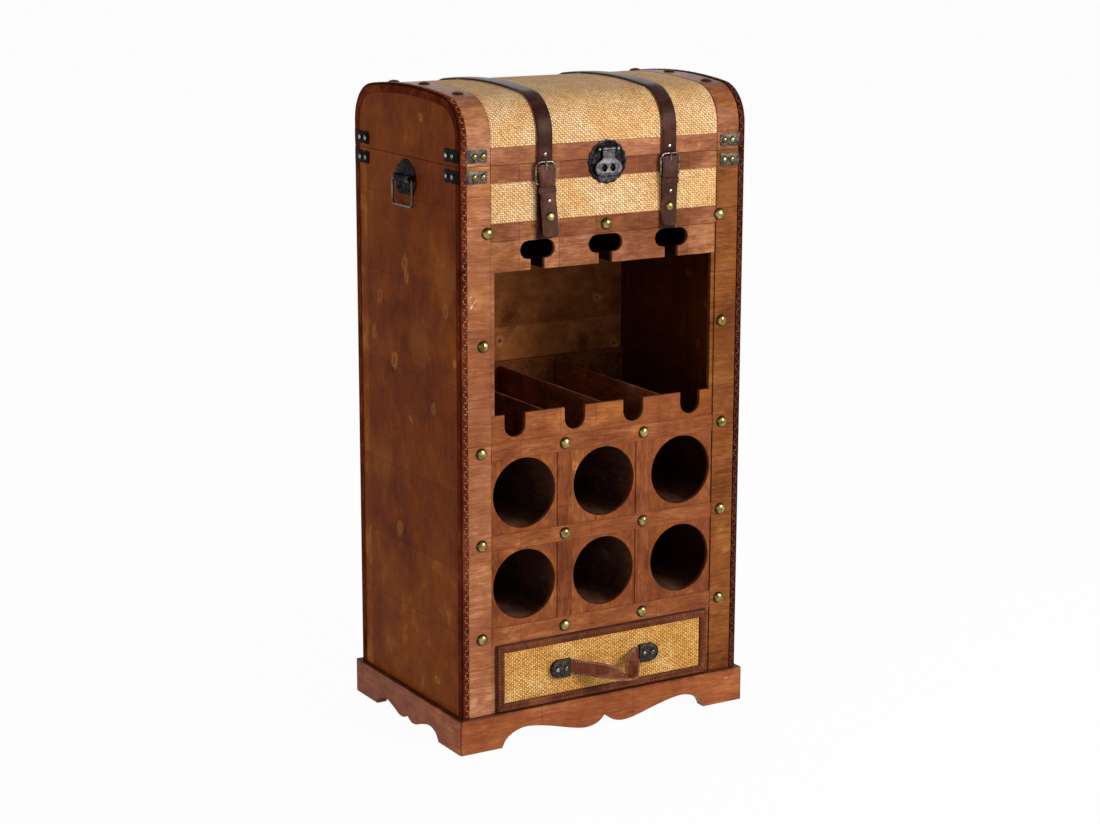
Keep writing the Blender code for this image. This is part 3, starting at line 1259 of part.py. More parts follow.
def drawer_face(straw, binding, axis):
    """The straw on the drawer's front and the mitred leather frame round it."""
    back = DRAWER_FACE_Y - FIT
    inner_x = DRAWER_X - DRAWER_FRAME_WIDTH
    mesh = bmesh.new()
    edge = DRAWER_FRAME_WIDTH + FIT
    x = (edge - DRAWER_X, DRAWER_X - edge)
    block(mesh, x, (DRAWER_STRAW_FACE, back), (DRAWER_BOTTOM_Z + edge, DRAWER_TOP_Z - edge))
    node("drawer_straw_panel", mesh, straw, axis)

    mesh = bmesh.new()
    low = DRAWER_BOTTOM_Z + DRAWER_FRAME_WIDTH
    high = DRAWER_TOP_Z - DRAWER_FRAME_WIDTH
    corners = (
        ((-DRAWER_X, DRAWER_BOTTOM_Z), (-inner_x, low)),
        ((DRAWER_X, DRAWER_BOTTOM_Z), (inner_x, low)),
        ((DRAWER_X, DRAWER_TOP_Z), (inner_x, high)),
        ((-DRAWER_X, DRAWER_TOP_Z), (-inner_x, high)),
    )
    rings = []
    for outer, inner in corners:
        ring = [(outer, back), (outer, back - DRAWER_FRAME), (inner, back - DRAWER_FRAME), (inner, back)]
        rings.append([Vector((place[0], y, place[1])) for place, y in ring])
    loft(mesh, rings, closed=True)
    node("drawer_leather_frame", mesh, binding, axis)


def drawer_handle(bronze, leather, axis):
    """D-shaped plates, each with a pocket that holds one end of the bowed leather strap."""
    back = HANDLE_BACK
    radius = HANDLE_PLATE_HEIGHT / 2
    pocket_end = HANDLE_PLATE_X - HANDLE_PLATE_LENGTH / 2 + HANDLE_TONGUE + FIT
    for name, side in (("left", -1), ("right", 1)):
        flat_x = HANDLE_PLATE_X - HANDLE_PLATE_LENGTH / 2
        round_x = HANDLE_PLATE_X + HANDLE_PLATE_LENGTH / 2 - radius
        outline = [(side * flat_x, DRAWER_MIDDLE_Z + radius), (side * flat_x, DRAWER_MIDDLE_Z - radius)]
        bend = arc((round_x, DRAWER_MIDDLE_Z), radius, -math.pi / 2, math.pi / 2, ROUND_SIDES)
        outline += [(side * x, z) for x, z in bend]
        mesh = bmesh.new()
        prism(mesh, outline, "Y", back, back - HANDLE_PLATE_DEPTH)
        made = node("drawer_handle_plate_" + name, mesh, bronze, axis)
        pocket = bmesh.new()
        x = sorted((side * (flat_x - RUN_OUT), side * pocket_end))
        half = HANDLE_STRAP_WIDTH / 2 + FIT
        y = (back - HANDLE_STRAP - FIT, back + RUN_OUT)
        block(pocket, x, y, (DRAWER_MIDDLE_Z - half, DRAWER_MIDDLE_Z + half))
        combine(made, pocket, "DIFFERENCE", axis)

    half_span = HANDLE_PLATE_X - HANDLE_PLATE_LENGTH / 2 - HANDLE_LEAD
    tongue_y = back - HANDLE_STRAP / 2
    centres = []
    for side, twist in HANDLE_STATION_SHARES:
        lean = HANDLE_LEAN_SHARE * half_span * (1 - side**2)
        bow = math.cos(math.pi / 2 * side) ** HANDLE_BOW_POWER if abs(side) < 1 else 0
        y = tongue_y - HANDLE_REACH * bow
        centres.append(Vector((side * half_span + lean, y, DRAWER_MIDDLE_Z - HANDLE_SAG * bow)))
    twists = [0] + [twist for side, twist in HANDLE_STATION_SHARES] + [0]
    end_x = half_span + HANDLE_LEAD + HANDLE_TONGUE
    ends = [Vector((way * end_x, tongue_y, DRAWER_MIDDLE_Z)) for way in (-1, 1)]
    centres = ends[:1] + centres + ends[1:]
    made = []
    for index, (centre, twist) in enumerate(zip(centres, twists)):
        along = Vector((1, 0, 0))
        if 1 < index < len(centres) - 2:
            along = (centres[index + 1] - centres[index - 1]).normalized()
        turn = Matrix.Rotation(HANDLE_TWIST * twist, 3, along)
        wide = turn @ (Vector((0, 0, 1)) - along.z * along).normalized()
        made.append((centre, wide, along.cross(wide), 1))
    mesh = bmesh.new()
    ribbon(mesh, made, HANDLE_STRAP_WIDTH, HANDLE_STRAP)
    node("drawer_handle_strap", mesh, leather, axis, smooth=True)


def main():
    for old in list(bpy.data.objects):
        bpy.data.objects.remove(old, do_unlink=True)

    wood = material("stained_wood", 158, 92, 54, 0.42)
    side_wood = material("dark_stained_wood", 98, 50, 25, 0.42)
    panel_wood = material("panel_wood", 148, 84, 54, 0.45)
    inner_wood = material("inner_wood", 92, 50, 27, 0.55)
    straw = material("woven_straw", 224, 174, 117, 0.8)
    leather = material("brown_leather", 72, 38, 28, 0.5)
    binding = material("binding_leather", 104, 54, 34, 0.5)
    bronze = material("dark_bronze", 96, 82, 62, 0.45, 0.9)
    iron = material("black_iron", 40, 37, 36, 0.45, 0.9)
    steel = material("grey_steel", 126, 119, 121, 0.4, 0.9)

    root = axis_empty("wine_chest", (0, 0, 0))
    plinth(wood, root)
    base_board(inner_wood, root)
    side_panels(side_wood, root)
    back_panel(side_wood, root)
    front_posts(wood, root)
    glass_slot_panel(panel_wood, root)
    cradle_front(panel_wood, root)
    split = MIDDLE_RAIL_CENTRE
    top = UPPER_RAIL_CENTRE - FIT / 2
    hole_panel("hole_panel_lower", panel_wood, root, LOWER_RAIL_BOTTOM, split - FIT / 2, LOWER_ROW_Z)
    hole_panel("hole_panel_upper", panel_wood, root, split + FIT / 2, top, UPPER_ROW_Z)
    bottle_face_grid(wood, root)
    body_straw_panel(straw, root)

    level_board("chest_floor", inner_wood, root, CHEST_FLOOR_BOTTOM, SHELF_BOARD)
    glass_hanger(inner_wood, root)
    level_board("cradle_floor", inner_wood, root, CRADLE_FLOOR_BOTTOM, SHELF_BOARD)
    cradle_dividers(inner_wood, root)
    bottle_rack(inner_wood, root)
    level_board("bottle_shelf_lower", inner_wood, root, LOWER_SHELF_TOP - SHELF_BOARD, SHELF_BOARD)

    body_edge_bindings(binding, root)
    body_hinges(bronze, root)
    lock_plate_lower(iron, root)
    strap_anchors(leather, root)
    side_handle_plates(iron, root)
    side_handle_bails(steel, root)

    lid_axis = axis_empty("lid_hinge_axis", (0, HINGE_Y, SEAM_HEIGHT), root)
    lid_boards(side_wood, lid_axis)
    lid_straw_cover(straw, lid_axis)
    lid_facing(wood, lid_axis)
    lid_edge_bindings(binding, lid_axis)
    lid_hinges(bronze, lid_axis)
    lid_straps(leather, lid_axis)
    strap_buckles(steel, lid_axis)
    strap_tips(leather, lid_axis)
    lock_plate_upper(iron, lid_axis)
    hasp_axis = axis_empty("hasp_axis", (0, LOCK_PIN_Y, LOCK_PIN_Z), lid_axis)
    lock_hasp(steel, hasp_axis)

    drawer_axis = axis_empty("drawer_slide_axis", (0, DRAWER_FACE_Y, DRAWER_MIDDLE_Z), root)
    drawer_box(inner_wood, drawer_axis)
    drawer_face(straw, binding, drawer_axis)
    drawer_handle(bronze, leather, drawer_axis)


main()
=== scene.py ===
"""The wine chest's looks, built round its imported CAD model."""

import math

import bmesh
import bpy
from mathutils import Matrix, Vector
from mathutils.geometry import tessellate_polygon


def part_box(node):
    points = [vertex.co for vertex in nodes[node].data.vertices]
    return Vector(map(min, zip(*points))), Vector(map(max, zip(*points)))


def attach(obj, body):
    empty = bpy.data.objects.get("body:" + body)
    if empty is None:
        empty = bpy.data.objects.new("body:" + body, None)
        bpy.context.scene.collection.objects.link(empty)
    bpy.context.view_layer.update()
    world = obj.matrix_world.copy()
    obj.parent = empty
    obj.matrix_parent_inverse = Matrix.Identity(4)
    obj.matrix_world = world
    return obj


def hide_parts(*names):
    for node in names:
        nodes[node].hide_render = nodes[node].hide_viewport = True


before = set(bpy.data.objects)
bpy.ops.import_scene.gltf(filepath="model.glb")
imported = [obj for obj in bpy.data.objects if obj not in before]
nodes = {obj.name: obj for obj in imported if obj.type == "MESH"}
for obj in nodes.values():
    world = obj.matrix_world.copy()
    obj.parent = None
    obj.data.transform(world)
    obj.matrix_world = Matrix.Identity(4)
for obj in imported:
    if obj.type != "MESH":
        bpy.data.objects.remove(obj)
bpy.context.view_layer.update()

# Sizes in metres, in the design frame: x from the middle, y back from the front face, z from the floor
HALF_BODY = 0.2130
BODY_DEPTH = 0.2870
MIDDLE_Y = BODY_DEPTH / 2
CARCASS_BOTTOM = 0.0473
CARCASS_TOP = 0.7602
LID_BOTTOM = 0.7608
PLINTH_OVERHANG = 0.0070
CENTRE_Y = -PLINTH_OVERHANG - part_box("plinth_front")[0].y
VENEER = 0.0012
FACE_CUT = 0.0019
INNER_X = 0.2028
STILE_INNER = 0.1695
STILE_OUTER = 0.2035
RAIL_SEAM = 0.6648
GRID_PANES = ((0.1620, 0.2656), (0.2856, 0.3854))
BAND_X = 0.1692
STRAW_RECESS = 0.0002
STRAW = 0.0010
BACK_FRONT = 0.2820
LID_BAND = 0.0217
LID_CORNER_RADIUS = 0.0510
LID_CORNER_Z = LID_BOTTOM + 0.0333
LID_CROWN_ANGLE = math.radians(7)
LID_CROWN_RADIUS = (MIDDLE_Y - LID_CORNER_RADIUS) / math.sin(LID_CROWN_ANGLE) + LID_CORNER_RADIUS
LID_CROWN_Z = LID_CORNER_Z - (LID_CROWN_RADIUS - LID_CORNER_RADIUS) * math.cos(LID_CROWN_ANGLE)
BINDING_INNER = 0.2038
BINDING_PROUD = 0.0008
BINDING_SIDE = 0.0006
BINDING_WIDTH = 0.0118
LACE_PITCH = 0.0074
WHIP_PITCH = 0.0040
FORWARD = (0, -1, 0)
WHITE = (1, 1, 1, 1)


# Node graphs


def tone(red, green, blue):
    """A colour given as display values from 0 to 255."""
    return (*[((value / 255 + 0.055) / 1.055) ** 2.4 for value in (red, green, blue)], 1)


def deeper(colour, share):
    """The colour brought down to a share of its light."""
    return (*[value * share for value in colour[:3]], 1)


class Wire:
    """A node's output. A sum, difference, product or share of it adds the node that works it out."""

    def __init__(self, graph, socket):
        self.graph = graph
        self.socket = socket

    def worked(self, operation, *values):
        kind = "Math" if self.socket.type == "VALUE" else "VectorMath"
        return self.graph.node(kind, *values, operation=operation)

    def __add__(self, other):
        return self.worked("ADD", self, other)

    def __radd__(self, other):
        return self.worked("ADD", other, self)

    def __sub__(self, other):
        return self.worked("SUBTRACT", self, other)

    def __rsub__(self, other):
        return self.worked("SUBTRACT", other, self)

    def __mul__(self, other):
        return self.worked("MULTIPLY", self, other)

    def __truediv__(self, other):
        return self.worked("DIVIDE", self, other)

    def __abs__(self):
        return self.worked("ABSOLUTE", self)


class Graph:
    """Short calls that build the nodes of a material or the world."""

    def __init__(self, owner):
        owner.use_nodes = True
        self.owner = owner
        self.tree = owner.node_tree

    def feed(self, socket, value):
        if isinstance(value, Wire):
            value = value.socket
        if isinstance(value, bpy.types.NodeSocket):
            self.tree.links.new(value, socket)
        else:
            socket.default_value = value

    def add(self, kind, **settings):
        made = self.tree.nodes.new("ShaderNode" + kind)
        for key, value in settings.items():
            setattr(made, key, value)
        return made

    def fill(self, made, **values):
        """Feeds a node's inputs by name."""
        for name, value in values.items():
            self.feed(made.inputs[name], value)
        return made

    def node(self, kind, *values, output=0, **settings):
        """Adds a node, feeds its first inputs in their order and gives one of its outputs."""
        made = self.add(kind, **settings)
        for socket, value in zip(made.inputs, values):
            self.feed(socket, value)
        return Wire(self, made.outputs[output])

    def place(self):
        return self.node("TexCoord", output="Object")

    def sheet_uv(self):
        return self.node("UVMap", output="UV", uv_map="UVMap")

    def vector(self, x, y, z):
        return self.node("CombineXYZ", x, y, z)

    def parts(self, vector):
        made = self.add("SeparateXYZ")
        self.feed(made.inputs[0], vector)
        return [Wire(self, output) for output in made.outputs]

    def math(self, operation, *values, **settings):
        return self.node("Math", *values, operation=operation, **settings)

    def most(self, a, b):
        return self.math("MAXIMUM", a, b)

    def distance(self, a, b):
        return self.math("SQRT", a * a + b * b)

    def steps(self, value, low, high, out_low=0.0, out_high=1.0):
        """A smooth step from one output to the other as the value goes from low to high."""
        return self.node("MapRange", value, low, high, out_low, out_high, interpolation_type="SMOOTHSTEP")

    def mix(self, factor, a, b, kind="RGBA", blend="MIX"):
        made = self.add("Mix", data_type=kind, blend_type=blend)
        first = {"FLOAT": 2, "VECTOR": 4, "RGBA": 6}[kind]
        for index, value in ((0, factor), (first, a), (first + 1, b)):
            self.feed(made.inputs[index], value)
        return Wire(self, made.outputs[first // 2 - 1])

    def tinted(self, share, colour, tint):
        """The colour with a share of it multiplied by the tint."""
        return self.mix(share, colour, self.mix(1.0, colour, tint, blend="MULTIPLY"))

    def ramp(self, factor, positions, colours):
        made = self.add("ValToRGB")
        elements = made.color_ramp.elements
        while len(elements) < len(positions):
            elements.new(0.5)
        for element, position, colour in zip(elements, positions, colours):
            element.position = position
            element.color = colour
        self.feed(made.inputs[0], factor)
        return Wire(self, made.outputs[0])

    def noise(self, vector, scale, detail=3.0, roughness=0.55, distortion=0.0, colour=False):
        made = self.fill(self.add("TexNoise"), Vector=vector, Scale=scale, Detail=detail)
        self.fill(made, Roughness=roughness, Distortion=distortion)
        return Wire(self, made.outputs["Color" if colour else 0])

    def cells(self, place, scale, feature="F1", dimensions="3D", randomness=1.0):
        """Voronoi cells: the distance in each cell, and the cell's random colour."""
        made = self.add("TexVoronoi", feature=feature, voronoi_dimensions=dimensions)
        self.feed(made.inputs["W" if dimensions == "1D" else "Vector"], place)
        self.fill(made, Scale=scale, Randomness=randomness)
        return [Wire(self, made.outputs[index]) for index in (0, 1)]

    def chance(self, x, y, z):
        """A random number from 0 to 1 for each set of the three values."""
        return self.node("TexWhiteNoise", self.vector(x, y, z), output="Value", noise_dimensions="3D")

    def bump(self, height, distance, strength):
        made = self.fill(self.add("Bump"), Strength=strength, Distance=distance, Height=height)
        return Wire(self, made.outputs[0])

    def seen_rays(self):
        """One for the rays that show the background: camera, glossy and transmission rays."""
        rays = self.add("LightPath").outputs
        total = self.math("ADD", rays["Is Camera Ray"], rays["Is Glossy Ray"], use_clamp=True)
        return self.math("ADD", total, rays["Is Transmission Ray"], use_clamp=True)


class Surface(Graph):
    """A material's nodes round its Principled shader, with its tones from dark to light."""

    def __init__(self, name, colours, roughness=0.5, metallic=0.0, specular=0.3, tint=WHITE):
        super().__init__(bpy.data.materials.new(name))
        self.tones = [tone(*colour) for colour in colours]
        self.shader = self.tree.nodes["Principled BSDF"]
        self.fill(self.shader, Roughness=roughness, Metallic=metallic)
        self.fill(self.shader, **{"Specular IOR Level": specular, "Specular Tint": tint})

    def done(self, colour, normal=None, roughness=None):
        given = {"Base Color": colour, "Normal": normal, "Roughness": roughness}
        self.fill(self.shader, **{name: value for name, value in given.items() if value is not None})
        return self.owner


# Materials


class Veneer(Surface):
    """Varnished veneer: its grain first, then what is laid over it."""

    def __init__(self, name, colours, stretch, seed, gloss, contrast, panes):
        super().__init__(name, colours, specular=gloss, tint=(0.80, 0.52, 0.34, 1))
        place = self.place()
        self.axes = self.parts(place)
        self.within = 0.0
        for low, high in panes:
            over = self.steps(self.axes[2], low - 0.0002, low + 0.0002)
            under = self.steps(self.axes[2], high - 0.0002, high + 0.0002, 1.0, 0.0)
            self.within += over * under
        if panes:
            place = self.mix(self.within, place, self.vector(*reversed(self.axes)), "VECTOR")
        self.wood = place + [seed * share for share in (1.37, 0.71, 0.43)]
        self.swirl = self.noise(self.wood, 14, 2, 0.5, 0.3, colour=True) - (0.5, 0.5, 0.5)
        bent = self.wood + self.swirl * (0.012, 0.012, 0.012)
        self.streak = self.noise(bent * stretch, 1.0, 5, 0.62, 0.2)
        self.fine = self.noise(bent * [4.0 * value for value in stretch], 1.0, 4, 0.70)
        self.scar = self.noise(bent * [0.8 * value for value in stretch], 2.6, 5, 0.7)
        self.blotch = self.noise(self.wood, 26, 5, 0.62, 0.5)
        wide = self.noise(self.wood, 7.0, 3, 0.5, 0.4)
        sources = (self.streak, self.blotch, self.fine, wide)
        self.level = 0.5
        for source, weight in zip(sources, (0.62 * contrast, 0.62, 0.60 * contrast, 0.45)):
            self.level += (source - 0.5) * weight
        self.line = 0.0

    def knot(self, rarity):
        """Dark knots with a paler edge, in the share of the cells above the rarity."""
        distance, colour = self.cells(self.wood + self.swirl * (0.03, 0.03, 0.03), 17)
        picked = self.steps(self.parts(colour)[0], rarity, rarity + 0.02)
        near = self.steps(distance + self.blotch * 0.12, 0.23, 0.12) * picked
        self.level += near * 0.22
        self.core = self.steps(distance + self.fine * 0.10, 0.105, 0.075) * picked

    def joint(self, axis, per_metre, strength):
        """Sheets of veneer side by side along the axis, of different tones, with dark lines between them."""
        run = self.parts(self.wood)[axis] * per_metre + self.noise(self.wood, 60, 1, 0.5) * 0.02
        colour = self.cells(run, 1.0, "F1", "1D", 0.7)[1]
        edge = self.cells(run, 1.0, "DISTANCE_TO_EDGE", "1D", 0.7)[0]
        self.level += (self.parts(colour)[0] - 0.5) * strength
        reach = 0.0007 * per_metre
        here = self.steps(edge, reach * 0.3, reach, 1.0, 0.0)
        self.line = self.most(self.line, here * self.steps(self.blotch, 0.34, 0.52))

    def paint(self, golden):
        """Turns the grain into colour and relief."""
        warm = self.noise(self.wood, 19, 4, 0.6, 0.6)
        warm = self.ramp(warm, (0.36, 0.52, 0.66), ((0.97, 0.90, 1.05, 1), WHITE, (1.10, 1.06, 0.62, 1)))
        self.colour = self.tinted(golden, self.ramp(self.level, (0.20, 0.42, 0.58, 0.80), self.tones), warm)
        self.relief = self.fine * 0.7 + self.streak * 0.5 - self.line * 0.6 - self.core * 0.8

    def darken(self, borders, cut, painted_shade_within):
        """Knots, specks, scars, joints, the darkened edges, and painted shade on the inside faces."""
        x, y, z = self.axes
        speck = self.steps(self.cells(self.wood, 260)[0], 0.22, 0.10) * self.steps(self.blotch, 0.55, 0.62)
        shade = self.most(self.core * 0.75, speck * 0.70)
        shade = self.most(shade, self.steps(self.scar, 0.63, 0.74, 0.0, 0.50))
        shade = self.most(shade, self.line * 0.50)
        for axis, low, high, width in borders:
            inward = self.math("MINIMUM", *[abs(self.axes[axis] - edge) for edge in (low, high)])
            worn = inward + (self.blotch - 0.5) * (width * 2.2)
            shade = self.most(shade, self.steps(worn, 0.0, width, 0.75, 0.0))
        if cut:
            shade = self.most(shade, self.steps(y, cut - CENTRE_Y, cut - CENTRE_Y + 0.0005, 0.0, 0.55))
        # Painted shade: faces nearer the middle than the given x, back from the front veneer, turn near black
        # for the shade inside the chest.
        if painted_shade_within:
            front = self.steps(y, VENEER - CENTRE_Y, VENEER - CENTRE_Y + 0.0004)
            inner = self.steps(abs(x), painted_shade_within, painted_shade_within + 0.0006, 0.99, 0.0) * front
            self.colour = self.mix(inner, self.colour, tone(11, 5, 4))
        self.colour = self.mix(shade, self.colour, deeper(self.tones[0], 0.25))

    def ring(self, ragged, axis, at, z, radius, strength):
        across, upward = (self.axes[axis] - at) / radius, (self.axes[2] - z) / (radius * 1.3)
        far = self.distance(across, upward) + ragged
        where = self.steps(self.axes[0], 0.0, 0.001, 1.0, 0.0) if axis == 1 else 1.0
        patch = self.steps(far, 1.15, 0.55, 0.0, abs(strength)) * where
        self.colour = self.mix(patch, self.colour, self.tones[3 if strength > 0 else 0])
        if radius <= WIDEST_KNOT:
            centre = self.steps(far, 0.46, 0.22, 0.0, abs(strength) * 1.2) * where
            self.colour = self.mix(centre, self.colour, self.tones[0])
            self.relief -= centre * 0.8

    def scratch(self, x, z, slope, half_length, half_width):
        a, b = self.axes[0] - x, self.axes[2] - z
        run = (a * math.cos(slope) + b * math.sin(slope)) / half_length
        side = (b * math.cos(slope) - a * math.sin(slope)) / half_width
        far = self.distance(run, side) + (self.noise(self.wood, 420, 3, 0.7) - 0.5) * 2.4
        self.colour = self.mix(self.steps(far, 1.0, 0.55, 0.0, 0.85), self.colour, tone(232, 186, 142))
        self.relief -= self.steps(far, 1.0, 0.5, 0.0, 0.8)


def veneer(name, colours, stretch, seed, joints=(), borders=(), knots=0.62, contrast=1.0, panes=(), cut=None,
           painted_shade_within=None, marks=(), rings=(), drop=None, gloss=0.14, golden=0.5):
    """Colours run from dark to light; stretch gives the streaks per metre along each axis;
    joints are (axis, pieces per metre, strength); borders are (axis, low, high, width) of darkened edges;
    knots is the share of places without one; panes are heights between which the grain stands upright;
    cut is the depth past which sawn edges are dark; painted_shade_within is the x nearer the middle than
    which faces back from the front veneer are painted near black, as painted shade;
    marks are pale scratches as (x, z, slope, half length, half width);
    rings are pale knots as (axis, place along it, z, radius, strength), on a side board towards minus x, or
    dark patches where the strength is below zero; drop is (z, amount), paler under that height."""
    g = Veneer(name, colours, stretch, seed, gloss, contrast, panes)
    g.knot(knots)
    if panes:
        g.level -= g.within * 0.16
    if drop:
        g.level += g.steps(g.axes[2], drop[0] - 0.0003, drop[0], drop[1], 0.0)
    for joint in joints:
        g.joint(*joint)
    g.paint(golden)
    g.darken(borders, cut, painted_shade_within)
    if rings:
        ragged = (g.noise(g.wood, 90, 4, 0.65) - 0.5) * 1.5
    for ring in rings:
        g.ring(ragged, *ring)
    for mark in marks:
        g.scratch(*mark)
    return g.done(g.colour, g.bump(g.relief, 0.0006, 0.5), g.streak * 0.25 + 0.22)


def weave(name, colours, gap, pitch, slant=0.30):
    """Plaited straw: strands over and under each other across a sheet whose UV map is in metres."""
    g = Surface(name, colours, roughness=0.55, specular=0.10, tint=(1, 0.88, 0.66, 1))
    uv = g.sheet_uv()
    wander = g.noise(uv, 150, 2, 0.5, colour=True) - (0.5, 0.5, 0.5)
    u, v = g.parts(uv + wander * (0.0013, 0.0013, 0.0))[:2]
    along = v / pitch[1]
    b = g.math("FRACT", along)
    across = u / pitch[0] + (b - 0.5) * slant
    a = g.math("FRACT", across)
    column, row = g.math("FLOOR", across), g.math("FLOOR", along)
    over = g.math("FLOORED_MODULO", column + row, 2.0)

    def strand(side, run, fullness):
        round_, arch = g.math("SINE", side * math.pi), g.math("SINE", run * math.pi)
        return g.math("POWER", round_, fullness) * (arch * 0.5 + 0.5)

    height = g.mix(over, strand(a, b, 0.5), strand(b, a, 0.9) * 0.64, "FLOAT")
    crossing = g.chance(column, row, 0.5)
    lengthwise = g.chance(column, g.math("FLOOR", row / 6.0), 1.5)
    crosswise = g.chance(g.math("FLOOR", column / 6.0), row, 2.5)
    shade = crossing * 0.12 + g.mix(over, lengthwise, crosswise, "FLOAT") * 0.10
    shade += g.noise(uv, 22, 2, 0.5) * 0.80
    colour = g.ramp(shade, (0.22, 0.42, 0.58, 0.78), g.tones)
    tint = g.ramp(g.noise(uv, 11, 3, 0.55), (0.40, 0.58), ((1.0, 0.93, 0.74, 1), WHITE))
    colour = g.tinted(0.8, colour, tint)
    # Low places between the strands take the gap colour: partly the darker straw beneath, partly painted
    # shade in the hollows.
    hollow_shade = g.steps(height + (crossing - 0.5) * 0.26, 0.22, 0.80, 1.0, 0.0)
    colour = g.mix(hollow_shade, colour, tone(*gap))
    fibre = g.noise(uv * (900, 900, 1), 1.0, 2, 0.5)
    colour = g.mix(fibre * 0.14, colour, g.tones[3])
    return g.done(colour, g.bump(height + fibre * 0.12, 0.0008, 0.7))


def leather(
    name, colours, edge, half_width, roughness=0.38, wear=0.5, pebble=900, gloss=0.3, crease=0, fold=0,
):
    """Waxed leather: grain, scuffs, and edges in the edge's colour where v nears half the width.
    crease is a groove's distance in from the edge, and fold the v where the strip turns a corner."""
    g = Surface(name, colours, specular=gloss, tint=(0.70, 0.42, 0.33, 1))
    place = g.place()
    across = g.parts(g.sheet_uv())[1]
    inward = half_width - abs(across)
    mottle = g.noise(place, 60, 4, 0.65, 0.6)
    pores = g.steps(g.cells(place, pebble, "DISTANCE_TO_EDGE")[0], 0.0, 0.16)
    scuff = g.noise(place * (400, 400, 60), 1.0, 3, 0.6)
    level = mottle * 0.7 + g.noise(place, 14, 2, 0.5) * 0.4 + scuff * 0.12
    colour = g.ramp(level, (0.40, 0.62, 0.86), g.tones)
    rim = g.steps(inward, 0.0, 0.0011, 1.0, 0.0) * (g.steps(mottle, 0.35, 0.6) * wear)
    colour = g.mix(rim, colour, tone(*edge))
    if fold:
        colour = g.mix(g.steps(across, fold, fold + 0.0008, 0.0, 0.72), colour, tone(*edge))
    height = pores * 0.5
    if crease:
        groove = g.steps(abs(inward - crease), 0.00015, 0.00055, 1.0, 0.0)
        colour = g.mix(groove * 0.45, colour, deeper(g.tones[0], 0.35))
        height -= groove * 1.2
    height += mottle * 0.9
    return g.done(colour, g.bump(height, 0.16 / pebble, 0.6), scuff * 0.24 + (roughness - 0.12))


def metal(name, colours, roughness, pitting, metallic=1.0, rim=0.0, grain=190, specular=0.4, tint=WHITE):
    """Aged metal: patina in patches, fine pits, and painted shade: a darker rim where the UV map's u nears
    one.
    """
    g = Surface(name, colours, metallic=metallic, specular=specular, tint=tint)
    place = g.place()
    patch = g.noise(place, grain, 4, 0.6, 0.5)
    pits = g.noise(place, 900, 3, 0.6)
    colour = g.ramp(patch, (0.34, 0.50, 0.68), g.tones)
    # Painted shade: each domed head darkens towards its rim.
    if rim:
        outward = g.parts(g.sheet_uv())[0]
        colour = g.mix(g.steps(outward, 0.62, 1.0, 0.0, rim), colour, deeper(g.tones[0], 0.12))
    colour = g.mix(g.steps(pits, 0.40, 0.30) * pitting, colour, deeper(g.tones[0], 0.3))
    height = pits * pitting + patch * 0.5
    return g.done(colour, g.bump(height, 0.0004, pitting), patch * 0.30 + (roughness - 0.15))


def thread(name, light, dark):
    """Waxed thread, twisted along its length."""
    g = Surface(name, (dark, light), roughness=0.6, specular=0.25)
    place = g.place()
    ply = g.noise(place, 2200, 2, 0.5)
    colour = g.ramp(g.noise(place, 150, 3, 0.6), (0.38, 0.60), g.tones)
    return g.done(g.mix(ply * 0.3, colour, g.tones[0]), g.bump(ply, 0.0002, 0.6))


STAIN = ((82, 38, 14), (116, 63, 27), (136, 80, 36), (174, 116, 56))
PINKISH = ((108, 56, 34), (140, 82, 52), (156, 97, 64), (194, 136, 94))
PANEL = ((96, 46, 24), (122, 64, 34), (138, 78, 42), (174, 110, 62))
RAIL = ((88, 44, 26), (118, 66, 40), (136, 82, 52), (172, 116, 78))
GRID = ((96, 46, 24), (126, 67, 37), (142, 82, 47), (178, 116, 70))
PLINTH = ((108, 52, 28), (138, 74, 42), (154, 88, 52), (184, 120, 78))
PLINTH_SIDE = ((92, 40, 20), (128, 64, 36), (148, 80, 48), (178, 108, 68))
LIGHT = ((104, 54, 34), (138, 82, 54), (158, 102, 70), (196, 142, 104))
SIDE = ((74, 28, 4), (108, 48, 10), (126, 62, 16), (172, 112, 48))
INNER = ((56, 32, 24), (90, 57, 44), (110, 74, 58), (138, 100, 82))
BAY = ((72, 34, 17), (112, 60, 32), (134, 78, 44), (164, 106, 66))
BACK = ((100, 48, 20), (156, 90, 46), (184, 114, 64), (216, 150, 94))
HANGER = ((16, 8, 5), (28, 15, 9), (36, 20, 13), (50, 30, 20))
PALE_STRAW = ((214, 158, 94), (240, 193, 132), (248, 211, 157), (254, 232, 190))
GOLD_STRAW = ((192, 130, 54), (226, 166, 84), (240, 186, 106), (254, 214, 142))
WIDEST_KNOT = 0.02
POSTS = ((0, -0.2035, -0.1698, 0.0008), (0, 0.1698, 0.2035, 0.0008))
STILE_MARKS = (
    (-0.1975, 0.5860, 0.95, 0.0050, 0.0016),
    (-0.1920, 0.5925, 0.9, 0.0040, 0.0007),
    (-0.1985, 0.5985, 0.5, 0.0036, 0.0005),
)
SIDE_RINGS = (
    (0.1505, 0.6218, 0.0095, 0.38), (0.1453, 0.6040, 0.0070, 0.45), (0.2230, 0.5681, 0.0095, 0.36),
    (0.0403, 0.5752, 0.0085, 0.34), (0.2391, 0.5178, 0.0080, 0.35), (0.1820, 0.4886, 0.0100, 0.50),
    (0.0746, 0.4423, 0.0070, 0.38), (0.1720, 0.2620, 0.0095, 0.36), (0.0423, 0.6194, 0.0280, 0.16),
    (0.1112, 0.5234, 0.0300, 0.15), (0.2200, 0.3400, 0.0300, 0.12),
)
side_rings = [(1, y - CENTRE_Y, z, radius, strength) for y, z, radius, strength in SIDE_RINGS]
plinth_low, plinth_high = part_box("plinth_front")
plinth_edges = ((0, plinth_low.x, plinth_high.x, 0.0026), (2, -1, plinth_high.z, 0.0022))
binding = dict(wear=0.8, pebble=1300, gloss=0.0, fold=0.0030)

